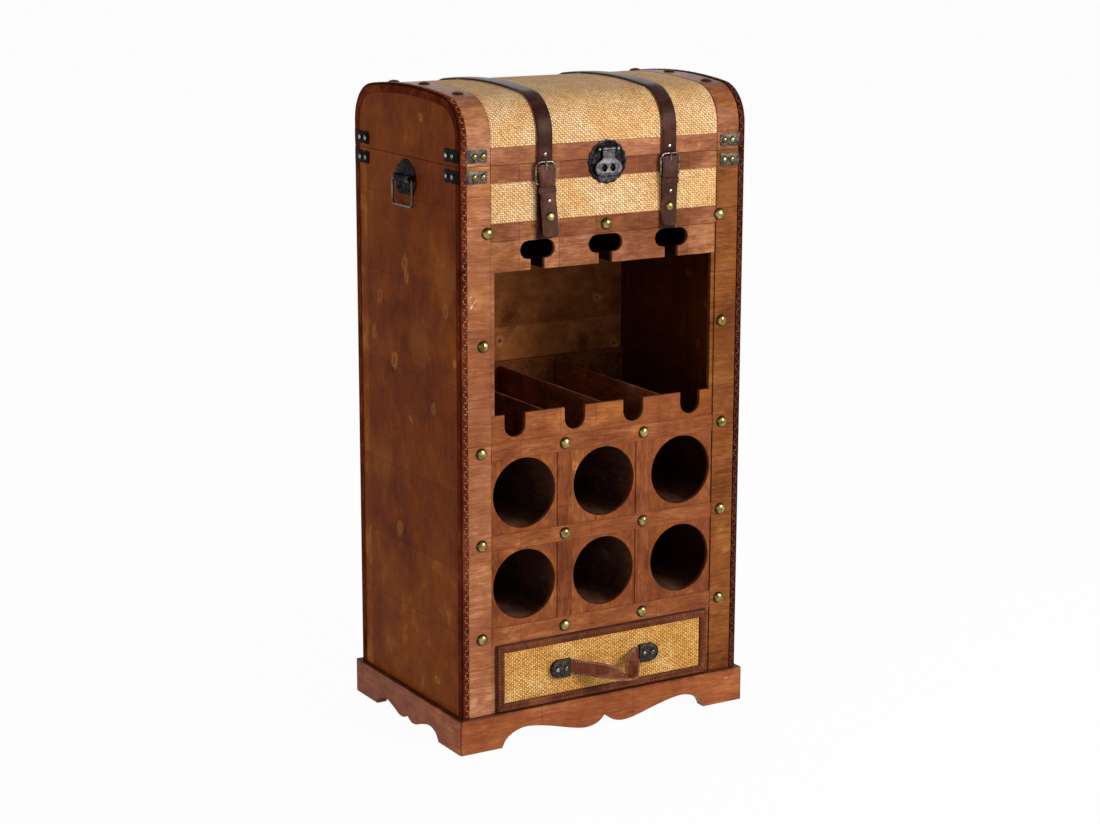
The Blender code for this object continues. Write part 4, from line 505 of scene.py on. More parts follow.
look = {
    "stile_left": veneer(
        "veneer_stile_left", PINKISH, (18, 60, 210), 1, [(2, 13, 0.20)], POSTS[:1],
        cut=FACE_CUT, marks=STILE_MARKS, rings=[(0, -0.1935, 0.5930, 0.0120, 0.35)],
    ),
    "stile_right": veneer(
        "veneer_stile_right", STAIN, (18, 60, 210), 4, [(2, 11.5, 0.20)], POSTS[1:],
        cut=FACE_CUT, rings=[(0, 0.1865, 0.4850, 0.0500, -0.40)],
    ),
    "bands": veneer(
        "veneer_bands", RAIL, (20, 60, 120), 7, [(0, 15, 0.20)], [(2, RAIL_SEAM, RAIL_SEAM, 0.0007)],
        cut=FACE_CUT, drop=(RAIL_SEAM, 0.12), golden=0.9,
    ),
    "panel": veneer("veneer_panel", PANEL, (70, 60, 26), 9, [(0, 15, 0.12)], cut=FACE_CUT, golden=0.9),
    "cradle": veneer(
        "veneer_cradle", PANEL, (20, 60, 120), 12, [(0, 19, 0.16)], contrast=0.8, cut=FACE_CUT, golden=0.9,
    ),
    "grid": veneer("veneer_grid", GRID, (20, 60, 130), 15, [(0, 9, 0.14)], panes=GRID_PANES),
    "lid": veneer("veneer_lid", LIGHT, (20, 120, 120), 18, [(0, 12, 0.14)], POSTS),
    # The side boards' faces inside INNER_X are painted near black: painted shade inside the chest.
    "side": veneer(
        "veneer_side", SIDE, (60, 34, 9), 21, [(2, 8.5, 0.12), (1, 7.5, 0.12)], contrast=0.30, knots=0.45,
        painted_shade_within=INNER_X, rings=side_rings, gloss=0.015, golden=0.9,
    ),
    "plinth": veneer(
        "veneer_plinth", PLINTH, (14, 60, 90), 25, [(0, 6, 0.10)], plinth_edges, knots=0.8,
        marks=[(0.1935, 0.0350, 0.05, 0.0048, 0.0008)],
    ),
    "plinth_side": veneer(
        "veneer_plinth_side", PLINTH_SIDE, (60, 14, 90), 27, [(1, 8, 0.12)], plinth_edges[1:],
        knots=0.8, gloss=0.06,
    ),
    "inner": veneer("inner_wood", INNER, (12, 60, 60), 30, gloss=0.10),
    "inner_deep": veneer("inner_wood_deep", INNER, (60, 12, 60), 31, gloss=0.10),
    "back": veneer(
        "back_wood", BACK, (9, 60, 26), 33, [(2, 7, 0.16)], knots=0.15, contrast=0.55,
        rings=[(0, 0.0186, 0.5081, 0.0200, -0.60), (0, 0.1398, 0.4606, 0.0130, -0.55)],
        gloss=0.06, golden=0.6,
    ),
    "bay": veneer("bay_wood", BAY, (60, 12, 60), 36, gloss=0.06, golden=0.7),
    "hanger": veneer("hanger_wood", HANGER, (12, 60, 60), 38, gloss=0.02),
    # The third values are the gap colours of the weaves' hollows: darker straw and painted shade.
    "straw": weave("straw_pale", PALE_STRAW, (158, 102, 54), (0.0030, 0.0027)),
    "straw_gold": weave("straw_gold", GOLD_STRAW, (128, 72, 22), (0.0033, 0.0025), -0.18),
    "strap": leather(
        "leather_strap", ((24, 9, 6), (47, 20, 15), (86, 49, 40)), (128, 78, 56), 0.0115,
        crease=0.0019, roughness=0.30, gloss=0.20,
    ),
    "tip": leather(
        "leather_tip", ((26, 10, 6), (54, 24, 16), (104, 60, 43)), (140, 100, 76), 0.0115, wear=0.7,
    ),
    "handle": leather(
        "leather_handle", ((56, 22, 12), (100, 50, 31), (150, 94, 66)), (190, 142, 104), 0.0100, wear=1.0,
    ),
    "binding": leather(
        "leather_binding", ((58, 20, 10), (92, 38, 20), (134, 66, 38)), (38, 14, 7), 0.0046, **binding,
    ),
    # A darker copy of the binding leather for the right-hand edge: painted shade.
    "binding_shaded": leather(
        "leather_binding_dark", ((34, 12, 7), (58, 23, 13), (98, 46, 28)), (28, 10, 6), 0.0046, **binding,
    ),
    "frame": leather(
        "leather_frame", ((52, 20, 9), (88, 41, 21), (134, 76, 44)), (42, 14, 6), 0.0050,
        wear=0.6, pebble=1100, gloss=0.2,
    ),
    # rim sets how dark the painted shade at the edge of each domed head goes.
    "brass": metal(
        "brass_nail", ((98, 80, 40), (140, 122, 70), (188, 172, 116)), 0.24, 0.12, rim=0.92, grain=110,
    ),
    "nickel": metal(
        "nickel_stud", ((70, 66, 60), (124, 118, 108), (186, 180, 170)), 0.22, 0.12, rim=0.97, grain=110,
    ),
    "dull": metal(
        "bronze_nail", ((66, 42, 28), (94, 64, 44), (124, 92, 66)), 0.45, 0.3, 0.6,
        rim=0.5, grain=90, specular=0.1,
    ),
    "pewter": metal(
        "pewter_bracket", ((40, 36, 33), (70, 64, 58), (104, 96, 86)), 0.46, 0.5, 0.8, specular=0.1,
    ),
    "black": metal(
        "black_bracket", ((7, 6, 7), (15, 13, 14), (38, 34, 33)), 0.40, 0.3, 0.5,
        specular=0.05, tint=(0.3, 0.3, 0.3, 1),
    ),
    "iron": metal(
        "black_iron_aged", ((12, 11, 13), (27, 25, 27), (58, 54, 56)), 0.34, 0.4, 0.7,
        specular=0.1, tint=(0.4, 0.4, 0.4, 1),
    ),
    "steel": metal("grey_steel_aged", ((44, 42, 44), (74, 71, 74), (112, 108, 112)), 0.44, 0.5, 0.8),
    "wire": metal("bright_wire", ((54, 48, 42), (96, 88, 80), (150, 142, 132)), 0.28, 0.15),
    "bail": metal("dark_wire", ((40, 34, 28), (68, 60, 50), (104, 94, 80)), 0.26, 0.08, grain=60),
    "bronze": metal("dark_bronze_aged", ((28, 23, 20), (50, 43, 37), (82, 73, 62)), 0.40, 0.35, 0.8),
    "thread": thread("thread_tan", (166, 102, 70), (106, 54, 33)),
    # A darker copy of the thread for the right-hand laces: painted shade.
    "thread_dark": thread("thread_dark", (110, 60, 40), (70, 32, 20)),
    "thread_pale": thread("thread_pale", (206, 160, 120), (134, 84, 54)),
}


# Mesh building


def even(low, high, count):
    """Evenly spaced values from low to high."""
    return [low + (high - low) * i / count for i in range(count + 1)]


def circle(sides):
    """The angles of a circle's points."""
    return [math.tau * step / sides for step in range(sides)]


def beside(run, closed=False):
    """Each item with the one before it and the one after it. At an open end, it is its own neighbour."""
    first, last = (run[-1:], run[:1]) if closed else (run[:1], run[-1:])
    return zip(run, first + run[:-1], run[1:] + last)


def distances(points):
    """How far along the run each of its points lies."""
    run = [0.0]
    for before, after in zip(points, points[1:]):
        run.append(run[-1] + math.dist(before, after))
    return run


def on_front(a, b, depth):
    return Vector((a, depth, b))


def on_side(a, b, depth):
    return Vector((depth, a, b))


def uv_layer(mesh):
    return mesh.loops.layers.uv.get("UVMap") or mesh.loops.layers.uv.new("UVMap")


def loft(mesh, rings, closed=False, u=None, v=None):
    """Bridges rings of points, with flat ends unless the rings close on themselves.
    In the UV map, u is each ring's place and v is each point's place in its ring."""
    layer = uv_layer(mesh)
    made = [[mesh.verts.new(point) for point in ring] for ring in rings]
    count = len(rings[0])
    us = u or [0.0] * len(rings)
    vs = v or [0.0] * count
    for i in range(len(rings) if closed else len(rings) - 1):
        after = (i + 1) % len(rings)
        for j in range(count):
            k = (j + 1) % count
            face = mesh.faces.new((made[i][j], made[i][k], made[after][k], made[after][j]))
            pairs = ((us[i], vs[j]), (us[i], vs[k]), (us[after], vs[k]), (us[after], vs[j]))
            for loop, pair in zip(face.loops, pairs):
                loop[layer].uv = pair
    if closed:
        return
    for ring, place, order in ((made[0][::-1], us[0], vs[::-1]), (made[-1], us[-1], vs)):
        for loop, value in zip(mesh.faces.new(ring).loops, order):
            loop[layer].uv = (place, value)


def turned(mesh, profile, base, direction, sides=24, rim=None):
    """A turned solid. With a rim radius, the UV map's u is each point's share of it."""
    turn = Vector((0, 0, 1)).rotation_difference(Vector(direction)).to_matrix()
    rings = []
    for radius, height in profile:
        ring = [
            Vector((radius * math.cos(angle), radius * math.sin(angle), height)) for angle in circle(sides)
        ]
        rings.append([Vector(base) + turn @ point for point in ring])
    loft(mesh, rings, u=[min(1, radius / rim) for radius, height in profile] if rim else None)


# How far a domed head's rim sinks into what it sits on
SUNK = 0.0003


def dome(mesh, base, direction, radius, height, sides=24, steps=6):
    """A domed head with a slightly rolled rim."""
    profile = [(radius * 0.98, -SUNK), (radius, height * 0.05)]
    for step in range(1, steps):
        angle = math.pi / 2 * step / steps
        profile.append((radius * math.cos(angle), height * math.sin(angle)))
    profile.append((radius * 0.03, height))
    turned(mesh, profile, base, direction, sides, rim=radius)


def tube(mesh, path, radius, sides, normal, closed=False):
    """A round wire along points in the plane that the normal stands on."""
    points, normal = [Vector(point) for point in path], Vector(normal)
    rings = []
    for point, before, after in beside(points, closed):
        across = (after - before).normalized().cross(normal)
        ways = [math.cos(angle) * across + math.sin(angle) * normal for angle in circle(sides)]
        rings.append([point + radius * way for way in ways])
    loft(mesh, rings, closed, u=distances(points))


def arc(centre, radius, start, end, steps):
    angles = even(start, end, steps)
    return [(centre[0] + radius * math.cos(angle), centre[1] + radius * math.sin(angle)) for angle in angles]


def smooth_run(points, steps, closed=False):
    """Points on a smooth curve through the given ones."""
    points = list(points)
    padded = points[-1:] + points + points[:2] if closed else points[:1] + points + points[-1:]
    run = []
    for before, start, end, after in zip(padded, padded[1:], padded[2:], padded[3:]):
        for t in even(0, 1, steps)[:-1]:
            pair = []
            for p0, p1, p2, p3 in zip(before, start, end, after):
                bend = 2 * p0 - 5 * p1 + 4 * p2 - p3
                twist = 3 * p1 - p0 - 3 * p2 + p3
                pair.append((2 * p1 + (p2 - p0) * t + bend * t**2 + twist * t**3) / 2)
            run.append(tuple(pair))
    return run if closed else run + points[-1:]


def inset(points, amount):
    """The outline moved inward by a small amount, corner by corner."""
    area = sum(a[0] * b[1] - b[0] * a[1] for a, b in zip(points, points[1:] + points[:1]))
    way = 1 if area > 0 else -1
    moved = []
    for point, before, after in beside(points, closed=True):
        first = (Vector(point) - Vector(before)).normalized()
        second = (Vector(after) - Vector(point)).normalized()
        normal = Vector((-first.y - second.y, first.x + second.x)) * way
        if normal.length < 1e-6:
            normal = Vector((-first.y, first.x)) * way
        normal.normalize()
        along = max(0.4, abs(normal.dot(Vector((-second.y, second.x)))))
        moved.append((point[0] + normal.x * amount / along, point[1] + normal.y * amount / along))
    return moved


def plate(mesh, outlines, place, low, high, bevel):
    """A plate with rounded front edges. The first outline is the rim and the others are holes."""
    uv_layer(mesh)
    drop = math.copysign(bevel, high - low)
    levels = [(0.0, low), (0.0, high - drop)]
    for angle in (math.pi / 4, math.pi / 2):
        levels.append((bevel * (1 - math.cos(angle)), high - drop * (1 - math.sin(angle))))
    stacks, shapes = [], []
    for number, outline in enumerate(outlines):
        way = -1 if number else 1
        shape = [inset(outline, amount * way) if amount else outline for amount, depth in levels]
        stack = []
        for line, (amount, depth) in zip(shape, levels):
            stack.append([mesh.verts.new(place(a, b, depth)) for a, b in line])
        for ring, after in zip(stack, stack[1:]):
            for j in range(len(ring)):
                k = (j + 1) % len(ring)
                mesh.faces.new((ring[j], ring[k], after[k], after[j]))
        stacks.append(stack)
        shapes.append(shape)
    for level in (0, -1):
        flat = [vert for stack in stacks for vert in stack[level]]
        rims = [[Vector((a, b, 0)) for a, b in shape[level]] for shape in shapes]
        for corners in tessellate_polygon(rims):
            mesh.faces.new([flat[index] for index in corners])


def block(mesh, x, y, z, bevel):
    """A straight board with softened edges."""
    corners = [(a, b, c) for a in sorted(x) for b in sorted(y) for c in sorted(z)]
    verts = [mesh.verts.new(corner) for corner in corners]
    quads = ((0, 1, 3, 2), (4, 6, 7, 5), (0, 4, 5, 1), (2, 3, 7, 6), (0, 2, 6, 4), (1, 5, 7, 3))
    faces = [mesh.faces.new([verts[index] for index in quad]) for quad in quads]
    edges = list(dict.fromkeys(edge for face in faces for edge in face.edges))
    bmesh.ops.bevel(mesh, geom=edges, offset=bevel, segments=2, profile=0.6, affect="EDGES")


# A stitch's shape: the share of its length, the share of its radius and how far it sinks
STITCH = ((0, 0.45, 0.6), (0.22, 1.0, -0.15), (0.5, 1.08, -0.3), (0.78, 1.0, -0.15), (1, 0.45, 0.6))


def stitch(mesh, start, end, out, radius):
    """One stitch lying on a face, its ends sunk into the leather."""
    start, end, out = Vector(start), Vector(end), Vector(out)
    across = (end - start).normalized().cross(out).normalized()
    rings = []
    for share, size, sink in STITCH:
        centre = start.lerp(end, share) - out * radius * sink
        wide, deep = across * radius * size, out * radius * size * 0.75
        rings.append([centre + math.cos(angle) * wide + math.sin(angle) * deep for angle in circle(6)])
    loft(mesh, rings)


class Band:
    """A strap's line: at each station a centre, the directions across and out, and a width share."""

    def __init__(self, stations):
        self.stations = []
        for centre, across, out, share in stations:
            ways = Vector(across).normalized(), Vector(out).normalized()
            self.stations.append((Vector(centre), *ways, share))
        self.runs = distances([station[0] for station in self.stations])
        self.length = self.runs[-1]

    def at(self, distance):
        """The station at a distance along the band."""
        distance = min(max(distance, 0.0), self.length)
        index = next(i for i, run in enumerate(self.runs[1:]) if distance <= run)
        span = self.runs[index + 1] - self.runs[index]
        t = (distance - self.runs[index]) / span if span else 0
        first, second = self.stations[index], self.stations[index + 1]
        across, out = [first[i].lerp(second[i], t).normalized() for i in (1, 2)]
        return first[0].lerp(second[0], t), across, out, first[3] + (second[3] - first[3]) * t

    def sheet(self, mesh, width, thickness, crown=0.0003):
        """The strap itself: rounded edges, a slightly crowned face and softened ends."""
        half, thin = width / 2, thickness / 2
        soft, ends = min(thin, 0.0009), 0.0008
        section = [(-half + soft, -thin), (half - soft, -thin)]
        section += [(half - soft + soft * math.sin(a), -soft * math.cos(a) * 0.999) for a in (0.5, 1.0, 1.57)]
        section += [(half - soft + soft * math.sin(a), -soft * math.cos(a)) for a in (2.1, 2.6)]
        shares = (0.88, 0.6, 0.3, 0, -0.3, -0.6, -0.88)
        section += [(half * share, thin + crown * (1 - share**2)) for share in shares]
        section += [(-x, y) for x, y in reversed(section[2:7])]
        steps = [0.0, ends * 0.4, ends] + [run for run in self.runs if ends < run < self.length - ends]
        steps += [self.length - ends, self.length - ends * 0.4, self.length]
        heights = [0.45, 0.82] + [1.0] * (len(steps) - 4) + [0.82, 0.45]
        rings = []
        for distance, height in zip(steps, heights):
            centre, across, out, share = self.at(distance)
            rings.append([centre + across * (a * share) + out * (b * height) for a, b in section])
        loft(mesh, rings, u=steps, v=[a for a, b in section])

    def stitches(self, mesh, offset, lift, margin, pitch, radius):
        """A row of stitches beside the middle line, lifted off it."""
        distance = margin
        while distance + pitch * 0.68 <= self.length - margin:
            points = []
            for place in (distance, distance + pitch * 0.66):
                centre, across, out, share = self.at(place)
                points.append(centre + across * (offset * share) + out * lift)
            stitch(mesh, *points, out, radius)
            distance += pitch


def link(name, data):
    made = bpy.data.objects.new(name, data)
    bpy.context.scene.collection.objects.link(made)
    return made


def piece(name, mesh, body, material, replaces=(), angle=35):
    """Makes the named object from points in the design frame, and rides it on its body."""
    bmesh.ops.translate(mesh, verts=mesh.verts, vec=(0, -CENTRE_Y, 0))
    bmesh.ops.recalc_face_normals(mesh, faces=mesh.faces)
    data = bpy.data.meshes.new(name)
    mesh.to_mesh(data)
    mesh.free()
    data.shade_smooth()
    data.set_sharp_from_angle(angle=math.radians(angle))
    data.materials.append(look[material])
    made = link(name, data)
    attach(made, body)
    if replaces:
        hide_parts(*replaces)


def lid_profile(offset, front_z, rear_z):
    """The lid's outline in y and z, set in by the offset, from the front's low end to the back's."""
    radius = LID_CORNER_RADIUS - offset
    front_end, rear_end = math.pi / 2 + LID_CROWN_ANGLE, math.pi / 2 - LID_CROWN_ANGLE
    front = arc((LID_CORNER_RADIUS, LID_CORNER_Z), radius, math.pi, front_end, 22)
    crown = arc((MIDDLE_Y, LID_CROWN_Z), LID_CROWN_RADIUS - offset, front_end, rear_end, 14)
    rear = arc((BODY_DEPTH - LID_CORNER_RADIUS, LID_CORNER_Z), radius, rear_end, 0, 22)
    return [(offset, front_z)] + front + crown[1:-1] + rear + [(BODY_DEPTH - offset, rear_z)]


def lid_wrap(mesh, section, low=LID_BOTTOM, v=None):
    """A section of (x, offset) points carried over the lid from front to back."""
    runs = [lid_profile(offset, low, low) for x, offset in section]
    rings = [[Vector((x, y, z)) for (x, offset), (y, z) in zip(section, station)] for station in zip(*runs)]
    loft(mesh, rings, u=distances(runs[0]), v=v or [x for x, offset in section])


def lid_band(x, offset, front_z, rear_z):
    """A band's stations over the lid."""
    stations = []
    for (y, z), before, after in beside(lid_profile(offset, front_z, rear_z)):
        along = Vector((0, after[0] - before[0], after[1] - before[1])).normalized()
        stations.append(((x, y, z), (1, 0, 0), Vector((1, 0, 0)).cross(along), 1.0))
    return Band(stations)


# CAD nodes that stay: softened edges and better materials

DRESSED = {
    "plinth": ("plinth_front", "plinth_back"),
    "plinth_side": ("plinth_left", "plinth_right"),
    "stile_left": ("front_post_left",),
    "stile_right": ("front_post_right",),
    "bands": ("glass_slot_panel",),
    "cradle": ("cradle_front",),
    "panel": ("hole_panel_lower", "hole_panel_upper"),
    "grid": ("bottle_face_grid",),
    "side": ("side_panel_left", "side_panel_right", "lid_end_left", "lid_end_right"),
    "back": ("lid_shell",),
    "inner": ("base_board", "chest_floor", "drawer_front", "drawer_back", "drawer_bottom"),
    "inner_deep": ("bottle_rack", "bottle_shelf_lower", "drawer_side_left", "drawer_side_right"),
    "bay": ("cradle_floor", "cradle_dividers"),
    "hanger": ("glass_hanger",),
    "bronze": (
        "hinge_leaf_body_left", "hinge_leaf_body_right", "hinge_leaf_lid_left", "hinge_leaf_lid_right",
    ),
}
EDGE_WIDTHS = {"plinth": 0.0010, "plinth_side": 0.0010, "bronze": 0.0002}


def dress(target, material):
    target.data.materials.clear()
    target.data.materials.append(look[material])
    weld = target.modifiers.new("Weld", "WELD")
    weld.merge_threshold = 0.00002
    flat = target.modifiers.new("Flat", "DECIMATE")
    flat.decimate_type = "DISSOLVE"
    flat.angle_limit = math.radians(1)
    bevel = target.modifiers.new("Soften", "BEVEL")
    bevel.width = EDGE_WIDTHS.get(material, 0.0004)
    bevel.segments = 2
    bevel.limit_method = "ANGLE"
    bevel.angle_limit = math.radians(40)


for material, names in DRESSED.items():
    for name in names:
        dress(nodes[name], material)


# Nails

NAIL_RADIUS = 0.0078
NAIL_RISE = 0.0053
LID_NAIL_RISE = 0.0034
STILE_NAILS = ((0.1746, 0.6767), (0.18106, 0.53425), (0.18412, 0.3961), (0.18412, 0.2756), (0.18412, 0.1503))
MUNTIN_X = 0.0602
LID_NAIL_X = 0.1865

mesh = bmesh.new()
for side in (-1, 1):
    for x, z in STILE_NAILS + tuple((MUNTIN_X, z) for x, z in STILE_NAILS[2:]):
        dome(mesh, (side * x, 0, z), FORWARD, NAIL_RADIUS, NAIL_RISE)
dome(mesh, (0, 0, STILE_NAILS[0][1]), FORWARD, NAIL_RADIUS, NAIL_RISE)
piece("front_nails", mesh, "carcass", "brass")

mesh = bmesh.new()
for side in (-1, 1):
    for share in (0.18, 0.49, 0.785):
        y = share * BODY_DEPTH - MIDDLE_Y
        up = Vector((0, y, math.sqrt(LID_CROWN_RADIUS**2 - y**2)))
        centre = Vector((side * LID_NAIL_X, MIDDLE_Y, LID_CROWN_Z))
        dome(mesh, centre + up, up.normalized(), NAIL_RADIUS, LID_NAIL_RISE)
piece("lid_nails", mesh, "lid", "dull")


# Lid facing, straw and back board

SOFT_EDGE = 0.0004
STRAW_GAP = 0.0003
STRAW_RIM = 0.0009

mesh = bmesh.new()
for side in (-1, 1):
    strip = [(STILE_INNER, VENEER), (STILE_INNER, SOFT_EDGE), (STILE_INNER + SOFT_EDGE, 0)]
    strip += [(STILE_OUTER - SOFT_EDGE, 0), (STILE_OUTER, SOFT_EDGE), (STILE_OUTER, VENEER)]
    lid_wrap(mesh, [(side * x, offset) for x, offset in strip])
for y in ((0, VENEER), (BODY_DEPTH - VENEER, BODY_DEPTH)):
    reach = STILE_INNER - STRAW_GAP
    block(mesh, (-reach, reach), y, (LID_BOTTOM, LID_BOTTOM + LID_BAND), SOFT_EDGE)
piece("lid_wood_facing", mesh, "lid", "lid", ["lid_facing"])


def edged(low, high, count):
    """Evenly spaced values, with two more beside each end for the turned-in edge."""
    start = [low, low + STRAW_RIM * 0.5, low + STRAW_RIM]
    return start + even(low, high, count)[1:-1] + [high - STRAW_RIM, high - STRAW_RIM * 0.5, high]


def straw_sheet(name, x, z, face, back, body, material, replaced):
    """A flat woven sheet with turned-in edges."""
    mesh = bmesh.new()
    layer = uv_layer(mesh)

    def depth(a, b):
        gap = min(a - x[0], x[1] - a, b - z[0], z[1] - b)
        return face + (back - face) * 0.5 * max(0.0, 1 - gap / STRAW_RIM) ** 2

    grid = [[mesh.verts.new((a, depth(a, b), b)) for a in edged(*x, 48)] for b in edged(*z, 16)]
    (low_left, low_right), (top_left, top_right) = [[mesh.verts.new((a, back, b)) for a in x] for b in z]
    for row, after in zip(grid, grid[1:]):
        for j in range(len(row) - 1):
            mesh.faces.new((row[j], row[j + 1], after[j + 1], after[j]))
    mesh.faces.new((low_left, top_left, top_right, low_right))
    mesh.faces.new((*grid[0], low_right, low_left))
    mesh.faces.new((*reversed(grid[-1]), top_left, top_right))
    mesh.faces.new((*[row[0] for row in reversed(grid)], low_left, top_left))
    mesh.faces.new((*[row[-1] for row in grid], top_right, low_right))
    for made in mesh.faces:
        for loop in made.loops:
            loop[layer].uv = loop.vert.co.xz
    piece(name, mesh, body, material, [replaced], angle=60)


face = STRAW_RECESS
straw_sheet(
    "body_straw", (-BAND_X, BAND_X), (0.6877, 0.7381), face, face + STRAW,
    "carcass", "straw", "body_straw_panel",
)
mesh = bmesh.new()
edge = [(-BAND_X, face + 0.0004), (-BAND_X + 0.0006, face + 0.0001)]
section = edge + [(x, face) for x in even(-BAND_X, BAND_X, 40)[1:-1]]
section += [(-x, offset) for x, offset in reversed(edge)] + [(BAND_X, face + STRAW), (-BAND_X, face + STRAW)]
lid_wrap(mesh, section, LID_BOTTOM + LID_BAND + STRAW_GAP)
layer = uv_layer(mesh)
for made in mesh.faces:
    for loop in made.loops:
        loop[layer].uv = loop[layer].uv.yx
piece("lid_straw", mesh, "lid", "straw", ["lid_straw_cover"], angle=60)

mesh = bmesh.new()
width, height = (-BINDING_INNER, BINDING_INNER), (CARCASS_BOTTOM, CARCASS_TOP)
block(mesh, width, (BACK_FRONT, BODY_DEPTH), height, SOFT_EDGE)
piece("back_board", mesh, "carcass", "back", ["back_panel"])


# Leather bindings along the edges, with their laces


def binding_section(side):
    """The angle strip's (x, offset) points from its inner front edge round to its side's free edge,
    and each one's place across it in the UV map."""
    inner, face, side_face, corner = BINDING_INNER, -BINDING_PROUD, HALF_BODY - BINDING_SIDE, 0.0016
    points = [(inner + 0.0002, VENEER), (inner + 0.0002, face + 0.0007), (inner + 0.0004, face + 0.0002)]
    points += [(inner + 0.0010, face), (inner + 0.0034, face + 0.00015), (inner + 0.0056, face)]
    points += arc((HALF_BODY - corner, face + corner), corner, -math.pi / 2, 0, 5)
    points += [(HALF_BODY, BINDING_WIDTH - 0.0006), (HALF_BODY - 0.0002, BINDING_WIDTH - 0.0001)]
    points += [(side_face, BINDING_WIDTH), (side_face, VENEER)]
    across = [-0.0046, -0.0046, -0.0044, -0.0038, -0.0014, 0.0010]
    across += even(0.0026, 0.0046, 5) + [-0.0040, -0.0046, -0.0046, -0.0046]
    return [(side * x, offset) for x, offset in points], across


def upright(x, y, heights, out):
    """A straight band up the front or the back."""
    return Band([((x, y, z), (1, 0, 0), out, 1.0) for z in heights])


def laces(mesh, band, side):
    """Over and over along a binding: a bar across it, then a thread that slants left and right by turns."""
    for index in range(int((band.length - 0.006) / LACE_PITCH)):
        turn = 1 if index % 2 else -1
        bar = ((-0.0027, 0.0), (0.0027, 0.0006))
        slant = ((0.0024 * turn, 0.0012), (0.0020 * turn, 0.0060))
        for ends in (bar, slant):
            points = []
            for sideways, along in ends:
                centre, across, out, share = band.at(0.0030 + index * LACE_PITCH + along)
                points.append(centre + across * (sideways * side))
            stitch(mesh, *points, out, 0.0008)


def bindings(side, name, hide, lace):
    section, across = binding_section(side)
    line, lift = side * (BINDING_INNER + 0.0034), BINDING_PROUD - 0.00015
    for face, way, place in ((0.0, 1, "front"), (BODY_DEPTH, -1, "rear")):
        levels = even(CARCASS_BOTTOM, CARCASS_TOP, 36)
        mesh = bmesh.new()
        rings = [[Vector((x, face + way * offset, z)) for x, offset in section] for z in levels]
        loft(mesh, rings, u=levels, v=across)
        replaced = ["body_edge_binding_" + name] if place == "front" else []
        piece(f"body_binding_{place}_{name}", mesh, "carcass", hide, replaced)
        mesh = bmesh.new()
        laces(mesh, upright(line, face - way * lift, (CARCASS_BOTTOM, CARCASS_TOP), (0, -way, 0)), side)
        piece(f"body_stitches_{place}_{name}", mesh, "carcass", lace)
    mesh = bmesh.new()
    lid_wrap(mesh, section, v=across)
    piece("lid_binding_" + name, mesh, "lid", hide, ["lid_edge_binding_" + name])
    mesh = bmesh.new()
    laces(mesh, lid_band(line, -lift, LID_BOTTOM, LID_BOTTOM), side)
    piece("lid_stitches_" + name, mesh, "lid", lace)


bindings(-1, "left", "binding", "thread")
# The right-hand binding and laces take the darker copies: painted shade.
bindings(1, "right", "binding_shaded", "thread_dark")


# Corner brackets

BRACKET_HEIGHT = 0.0165
HALF_END = (
    (0.30, 0), (0.46, 0), (0.585, 0.09), (0.70, 0), (0.88, 0), (0.97, 0.09), (0.955, 0.26), (1, 0.40),
)
BRACKET_END = (*HALF_END, (0.945, 0.50), *[(a, 1 - b) for a, b in reversed(HALF_END)])


def bracket_leaf(mesh, start, length, low, place, face, out):
    """A leaf with a wavy free end."""
    end = [(min(a, 1.0), min(max(b, 0.0), 1.0)) for a, b in smooth_run(BRACKET_END, 4)]
    outline = [(start + length * a, low + BRACKET_HEIGHT * b) for a, b in [(0.0, 1.0), (0.0, 0.0)] + end]
    plate(mesh, [outline], place, face, face + out * 0.0009, 0.0003)


def brackets(name, low, body):
    """The brackets on the four corners of one body."""
    fronts, sides, studs, side_studs = [bmesh.new() for part in range(4)]
    middle = low + BRACKET_HEIGHT / 2
    for side, face, way in [(side, *end) for side in (-1, 1) for end in ((0.0, 1), (BODY_DEPTH, -1))]:
        bracket_leaf(fronts, side * 0.2042, -side * 0.0304, low, on_front, face - way * 0.0003, -way)
        skin = side * (HALF_BODY + 0.00005)
        bracket_leaf(sides, face + way * 0.0016, way * 0.0394, low, on_side, skin, side)
        for share in (0.38, 0.79):
            base = (side * (0.2043 - share * 0.030), face - way * 0.0012, middle)
            dome(studs, base, (0, -way, 0), 0.0041, 0.0024, 18, 5)
            base = (side * (HALF_BODY + 0.0009), face + way * (0.002 + share * 0.039), middle)
            dome(side_studs, base, (side, 0, 0), 0.0038, 0.0022, 18, 5)
    piece(name + "_front_leaves", fronts, body, "pewter")
    piece(name + "_side_leaves", sides, body, "black")
    piece(name + "_studs", studs, body, "brass")
    piece(name + "_side_studs", side_studs, body, "nickel")


brackets("body_brackets", 0.7394, "carcass")
brackets("lid_brackets", 0.7651, "lid")


# Straps

STRAP_X = 0.0930
STRAP_WIDTH = 0.0230
STRAP = 0.0022
STRAP_LIFT = 0.0014
TIP_TOP = 0.7588
TIP_LENGTH = 0.0913
TIP_ROUND = 0.0060
TIP_START = 0.0062
WIRE = 0.0013
BUCKLE_REACH = STRAP_WIDTH / 2 + 0.0009 + WIRE
# How far down a loose end is, as a share of its length, and how far it stands out, in steps of 3.1 mm
SNAPPED = (
    (0, 0.36), (0.10, 0.66), (0.20, 1), (0.29, 0.97), (0.37, 0.76),
    (0.48, 0.40), (0.58, 0.12), (0.70, 0), (1, 0),
)
LOOSE = (
    (0, 0.36), (0.10, 0.66), (0.20, 1), (0.30, 1.02), (0.37, 1.10),
    (0.50, 1.40), (0.64, 1.80), (0.80, 2.25), (1, 2.8),
)
# The prong's points, with x from the strap's middle
PRONG = (
    (-0.0016, -0.0064, 0.7510), (-0.0009, -0.0076, 0.7524), (0, -0.0079, 0.7552),
    (0, -0.0075, 0.7585), (0, -0.0064, 0.7606), (0, -0.0056, 0.7618),
)


